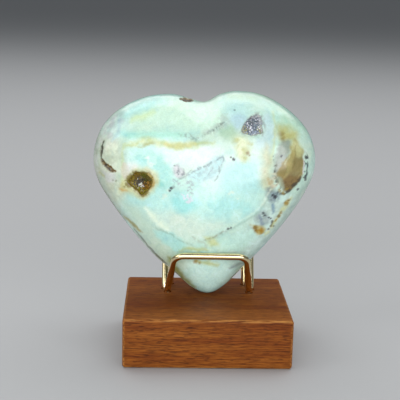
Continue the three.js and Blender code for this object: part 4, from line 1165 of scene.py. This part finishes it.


# The wooden block: its box is made, welded and drilled, and its edges are marked to be painted paler, partly
# wear and partly a painted highlight.
def makeBlock(material):
    half = np.array(block["size"]) / 2
    centre = standOrigin + np.array([0, half[1], -half[2]])
    points, faces = roundedBox()
    piece = makePiece("mahoganyBlock", points + centre, faces, material, "wood_block")
    drills = makeDrills()
    weld = piece.modifiers.new("weld", "WELD")
    weld.merge_threshold = block["weld"] * mm
    drill = piece.modifiers.new("drill", "BOOLEAN")
    drill.operation, drill.solver, drill.object = "DIFFERENCE", "EXACT", drills
    drilled = bpy.data.meshes.new_from_object(piece.evaluated_get(bpy.context.evaluated_depsgraph_get()))
    piece.modifiers.clear()
    piece.data = drilled
    bpy.data.objects.remove(drills)
    drilled.set_sharp_from_angle(angle=math.radians(block["sharpDegrees"]))

    # How far each point lies out on the rounding of an edge: 1 at its middle, 0 on a flat face.
    places = np.array([corner.co for corner in drilled.vertices]) / mm - centre
    over = np.maximum(np.abs(places) - (half - block["edge"]), 0) / block["edge"]
    second = np.sort(over, axis=1)[:, 1]
    # The edges are painted paler by this: partly wear, partly a painted highlight where the rounded edges
    # catch the light.
    storeAttribute(piece, "worn", "FLOAT", smoothStep(block["wearAndHighlightFrom"], block["wearAndHighlightTo"], second))
    return piece


# Oiled mahogany, sanded: straight grain along the block, red-brown ribbons, and short open pores that show
# as fine dark dashes on the long faces and as dots on the ends. Its edges are paler, partly rubbed by
# handling and partly a painted highlight where the rounded edges catch the light.
def oiledMahogany():
    look = {"ribbonMm": 8, "grainMm": 0.5, "poreMm": 0.26, "poreLength": 8, "grainLength": 16}
    material, tree = newMaterial("oiled mahogany")
    coordinates = addNode(tree, "ShaderNodeTexCoord")
    long, short = [addNode(tree, "ShaderNodeMapping", values={
        "Scale": (1 / look[length], 1, 1), "Rotation": (0, math.radians(1.5), math.radians(1))},
        links={"Vector": coordinates.outputs["Object"]}) for length in ("grainLength", "poreLength")]
    ribbon = addNode(tree, "ShaderNodeTexNoise", values={
        "Scale": 1 / (look["ribbonMm"] * mm), "Detail": 4, "Distortion": 0.6},
        links={"Vector": long.outputs["Vector"]})
    grain = addNode(tree, "ShaderNodeTexNoise", values={
        "Scale": 1 / (look["grainMm"] * mm), "Detail": 5, "Roughness": 0.65},
        links={"Vector": long.outputs["Vector"]})
    pores = addNode(tree, "ShaderNodeTexNoise", values={
        "Scale": 1 / (look["poreMm"] * 2 * mm), "Detail": 2, "Roughness": 0.5},
        links={"Vector": short.outputs["Vector"]})
    ribbonTone = addNode(tree, "ShaderNodeValToRGB", links={"Fac": ribbon.outputs["Fac"]},
                         ramp=[(0.3, "783c10"), (0.72, "9e6024"), (0.5, "8a4e16")])
    grainTone = addNode(tree, "ShaderNodeValToRGB", links={"Fac": grain.outputs["Fac"]},
                        ramp=[(0.38, "a48468"), (0.62, "ffffff")])
    toned = addNode(tree, "ShaderNodeMix", {"data_type": "RGBA", "blend_type": "MULTIPLY"}, {0: 0.8},
                    {6: ribbonTone.outputs["Color"], 7: grainTone.outputs["Color"]})
    poreCover = addNode(tree, "ShaderNodeMapRange", values={
        "From Min": 0.54, "From Max": 0.66, "To Max": 0.55}, links={"Value": pores.outputs["Fac"]})
    pored = addNode(tree, "ShaderNodeMix", {"data_type": "RGBA"}, {7: linear("2a0f05")},
                    {0: poreCover.outputs["Result"], 6: toned.outputs[2]})
    # Paler edges: partly wear, partly a painted highlight where the rounded edges catch the light.
    worn = addNode(tree, "ShaderNodeAttribute", {"attribute_name": "worn"})
    wearAndHighlightPatches = addNode(tree, "ShaderNodeMapRange", values={"From Min": 0.42, "From Max": 0.6, "To Max": 0.6},
                     links={"Value": grain.outputs["Fac"]})
    wearAndHighlightCover = addNode(tree, "ShaderNodeMath", {"operation": "MULTIPLY"},
                        links={0: worn.outputs["Fac"], 1: wearAndHighlightPatches.outputs["Result"]})
    edged = addNode(tree, "ShaderNodeMix", {"data_type": "RGBA"}, {7: linear("c08a4a")},
                    {0: wearAndHighlightCover.outputs["Value"], 6: pored.outputs[2]})
    gloss = addNode(tree, "ShaderNodeMapRange", values={"To Min": 0.45, "To Max": 0.65},
                    links={"Value": grain.outputs["Fac"]})
    height = addNode(tree, "ShaderNodeMath", {"operation": "SUBTRACT"},
                     links={0: grain.outputs["Fac"], 1: poreCover.outputs["Result"]})
    bump = addNode(tree, "ShaderNodeBump", values={"Strength": 0.25, "Distance": 0.12 * mm},
                   links={"Height": height.outputs["Value"]})
    shader = addNode(tree, "ShaderNodeBsdfPrincipled", values={
        "IOR": 1.5, "Specular IOR Level": 0.14},
        links={"Base Color": edged.outputs[2], "Roughness": gloss.outputs["Result"],
               "Normal": bump.outputs["Normal"]})
    addNode(tree, "ShaderNodeOutputMaterial", links={"Surface": shader.outputs["BSDF"]})
    return material


# The camera stands where the photograph was taken from: its place is given from the stand's origin, in mm.
view = {
    "place": (-19.529, -406.684, 147.035), "azimuth": -2.04, "down": 12.835, "roll": 1.373,
    "focalPixels": 975, "framePixels": 400, "sensorMm": 36,
}


def makeCamera():
    a, e, r = [math.radians(view[key]) for key in ("azimuth", "down", "roll")]
    forward = np.array([-math.sin(a) * math.cos(e), math.cos(a) * math.cos(e), -math.sin(e)])
    level = np.array([math.cos(a), math.sin(a), 0])
    upright = np.cross(level, forward)
    right = math.cos(r) * level + math.sin(r) * upright
    up = math.cos(r) * upright - math.sin(r) * level
    lens = bpy.data.cameras.new("camera")
    lens.sensor_width = view["sensorMm"]
    lens.lens = view["focalPixels"] / view["framePixels"] * view["sensorMm"]
    lens.clip_start, lens.clip_end = 0.01, 60
    camera = bpy.data.objects.new("camera", lens)
    turned = Matrix(np.stack([right, up, -forward], axis=1).tolist()).to_4x4()
    place = (np.array(view["place"]) + standOrigin) * mm
    camera.matrix_world = Matrix.Translation(Vector(place)) @ turned
    bpy.context.scene.collection.objects.link(camera)
    bpy.context.scene.camera = camera


# The studio: a pale floor that reaches past the view, soft boxes in front and above, and a pale surround.
studio = {
    "floorReach": 30.0, "floor": "aeafb0", "floorRough": 0.6, "surround": "c4c9ce", "surroundStrength": 0.3,
    "boxes": {
        "front": {"place": (-0.15, -1.7, 0.55), "size": (2.6, 1.1), "watts": 33},
        "left": {"place": (-1.3, -0.5, 0.9), "size": (0.8, 1.0), "watts": 5},
        "above": {"place": (0.1, 0.6, 1.5), "size": (2.6, 1.5), "watts": 26},
        "right": {"place": (1.2, -1.3, 0.5), "size": (0.35, 0.7), "watts": 4},
    },
    "aim": (0, 0, 0.07),
}


def makeStudio():
    reach = studio["floorReach"] / 2
    floorMesh = bpy.data.meshes.new("floor")
    floorMesh.from_pydata([(-reach, -reach, 0), (reach, -reach, 0), (reach, reach, 0), (-reach, reach, 0)],
                          [], [(0, 1, 2, 3)])
    material, tree = newMaterial("matt studio floor")
    coordinates = addNode(tree, "ShaderNodeTexCoord")
    speck = addNode(tree, "ShaderNodeTexNoise", values={"Scale": 400.0, "Detail": 2},
                    links={"Vector": coordinates.outputs["Object"]})
    bump = addNode(tree, "ShaderNodeBump", values={"Strength": 0.02, "Distance": 0.1 * mm},
                   links={"Height": speck.outputs["Fac"]})
    shader = addNode(tree, "ShaderNodeBsdfPrincipled", values={
        "Base Color": linear(studio["floor"]), "Roughness": studio["floorRough"]},
        links={"Normal": bump.outputs["Normal"]})
    addNode(tree, "ShaderNodeOutputMaterial", links={"Surface": shader.outputs["BSDF"]})
    floorMesh.materials.append(material)
    floor = bpy.data.objects.new("floor", floorMesh)
    bpy.context.scene.collection.objects.link(floor)
    for name, settings in studio["boxes"].items():
        lamp = bpy.data.lights.new(name, "AREA")
        lamp.shape = "RECTANGLE"
        lamp.size, lamp.size_y = settings["size"]
        lamp.energy = settings["watts"]
        box = bpy.data.objects.new(name, lamp)
        box.location = settings["place"]
        box.rotation_euler = (Vector(studio["aim"]) - box.location).to_track_quat("-Z", "Y").to_euler()
        box.visible_camera = False      # a box lights and shines in the gloss, and stays out of the picture
        bpy.context.scene.collection.objects.link(box)
    world = bpy.data.worlds.new("surround")
    world.use_nodes = True
    background = world.node_tree.nodes["Background"]
    background.inputs["Color"].default_value = linear(studio["surround"])
    background.inputs["Strength"].default_value = studio["surroundStrength"]
    bpy.context.scene.world = world
    bpy.context.scene.view_settings.view_transform = "Standard"      # so that hex colours show as written


makeCamera()
makeStudio()
print("camera and studio set")

makeHeart(polishedOpal())
print("stone shaped and marked")

makeCrust("brownDruse", drusyQuartz("iron-stained druse quartz", "6a5810", 0.9, 0.22))
makeCrust("greyDruse", drusyQuartz("smoky druse quartz", "5a6068", 1.1, 0.1))
print("druse grown")

brass = polishedBrass()
for wireName in wires:
    makeWire(wireName, brass)
makeBlock(oiledMahogany())
print("stand made")
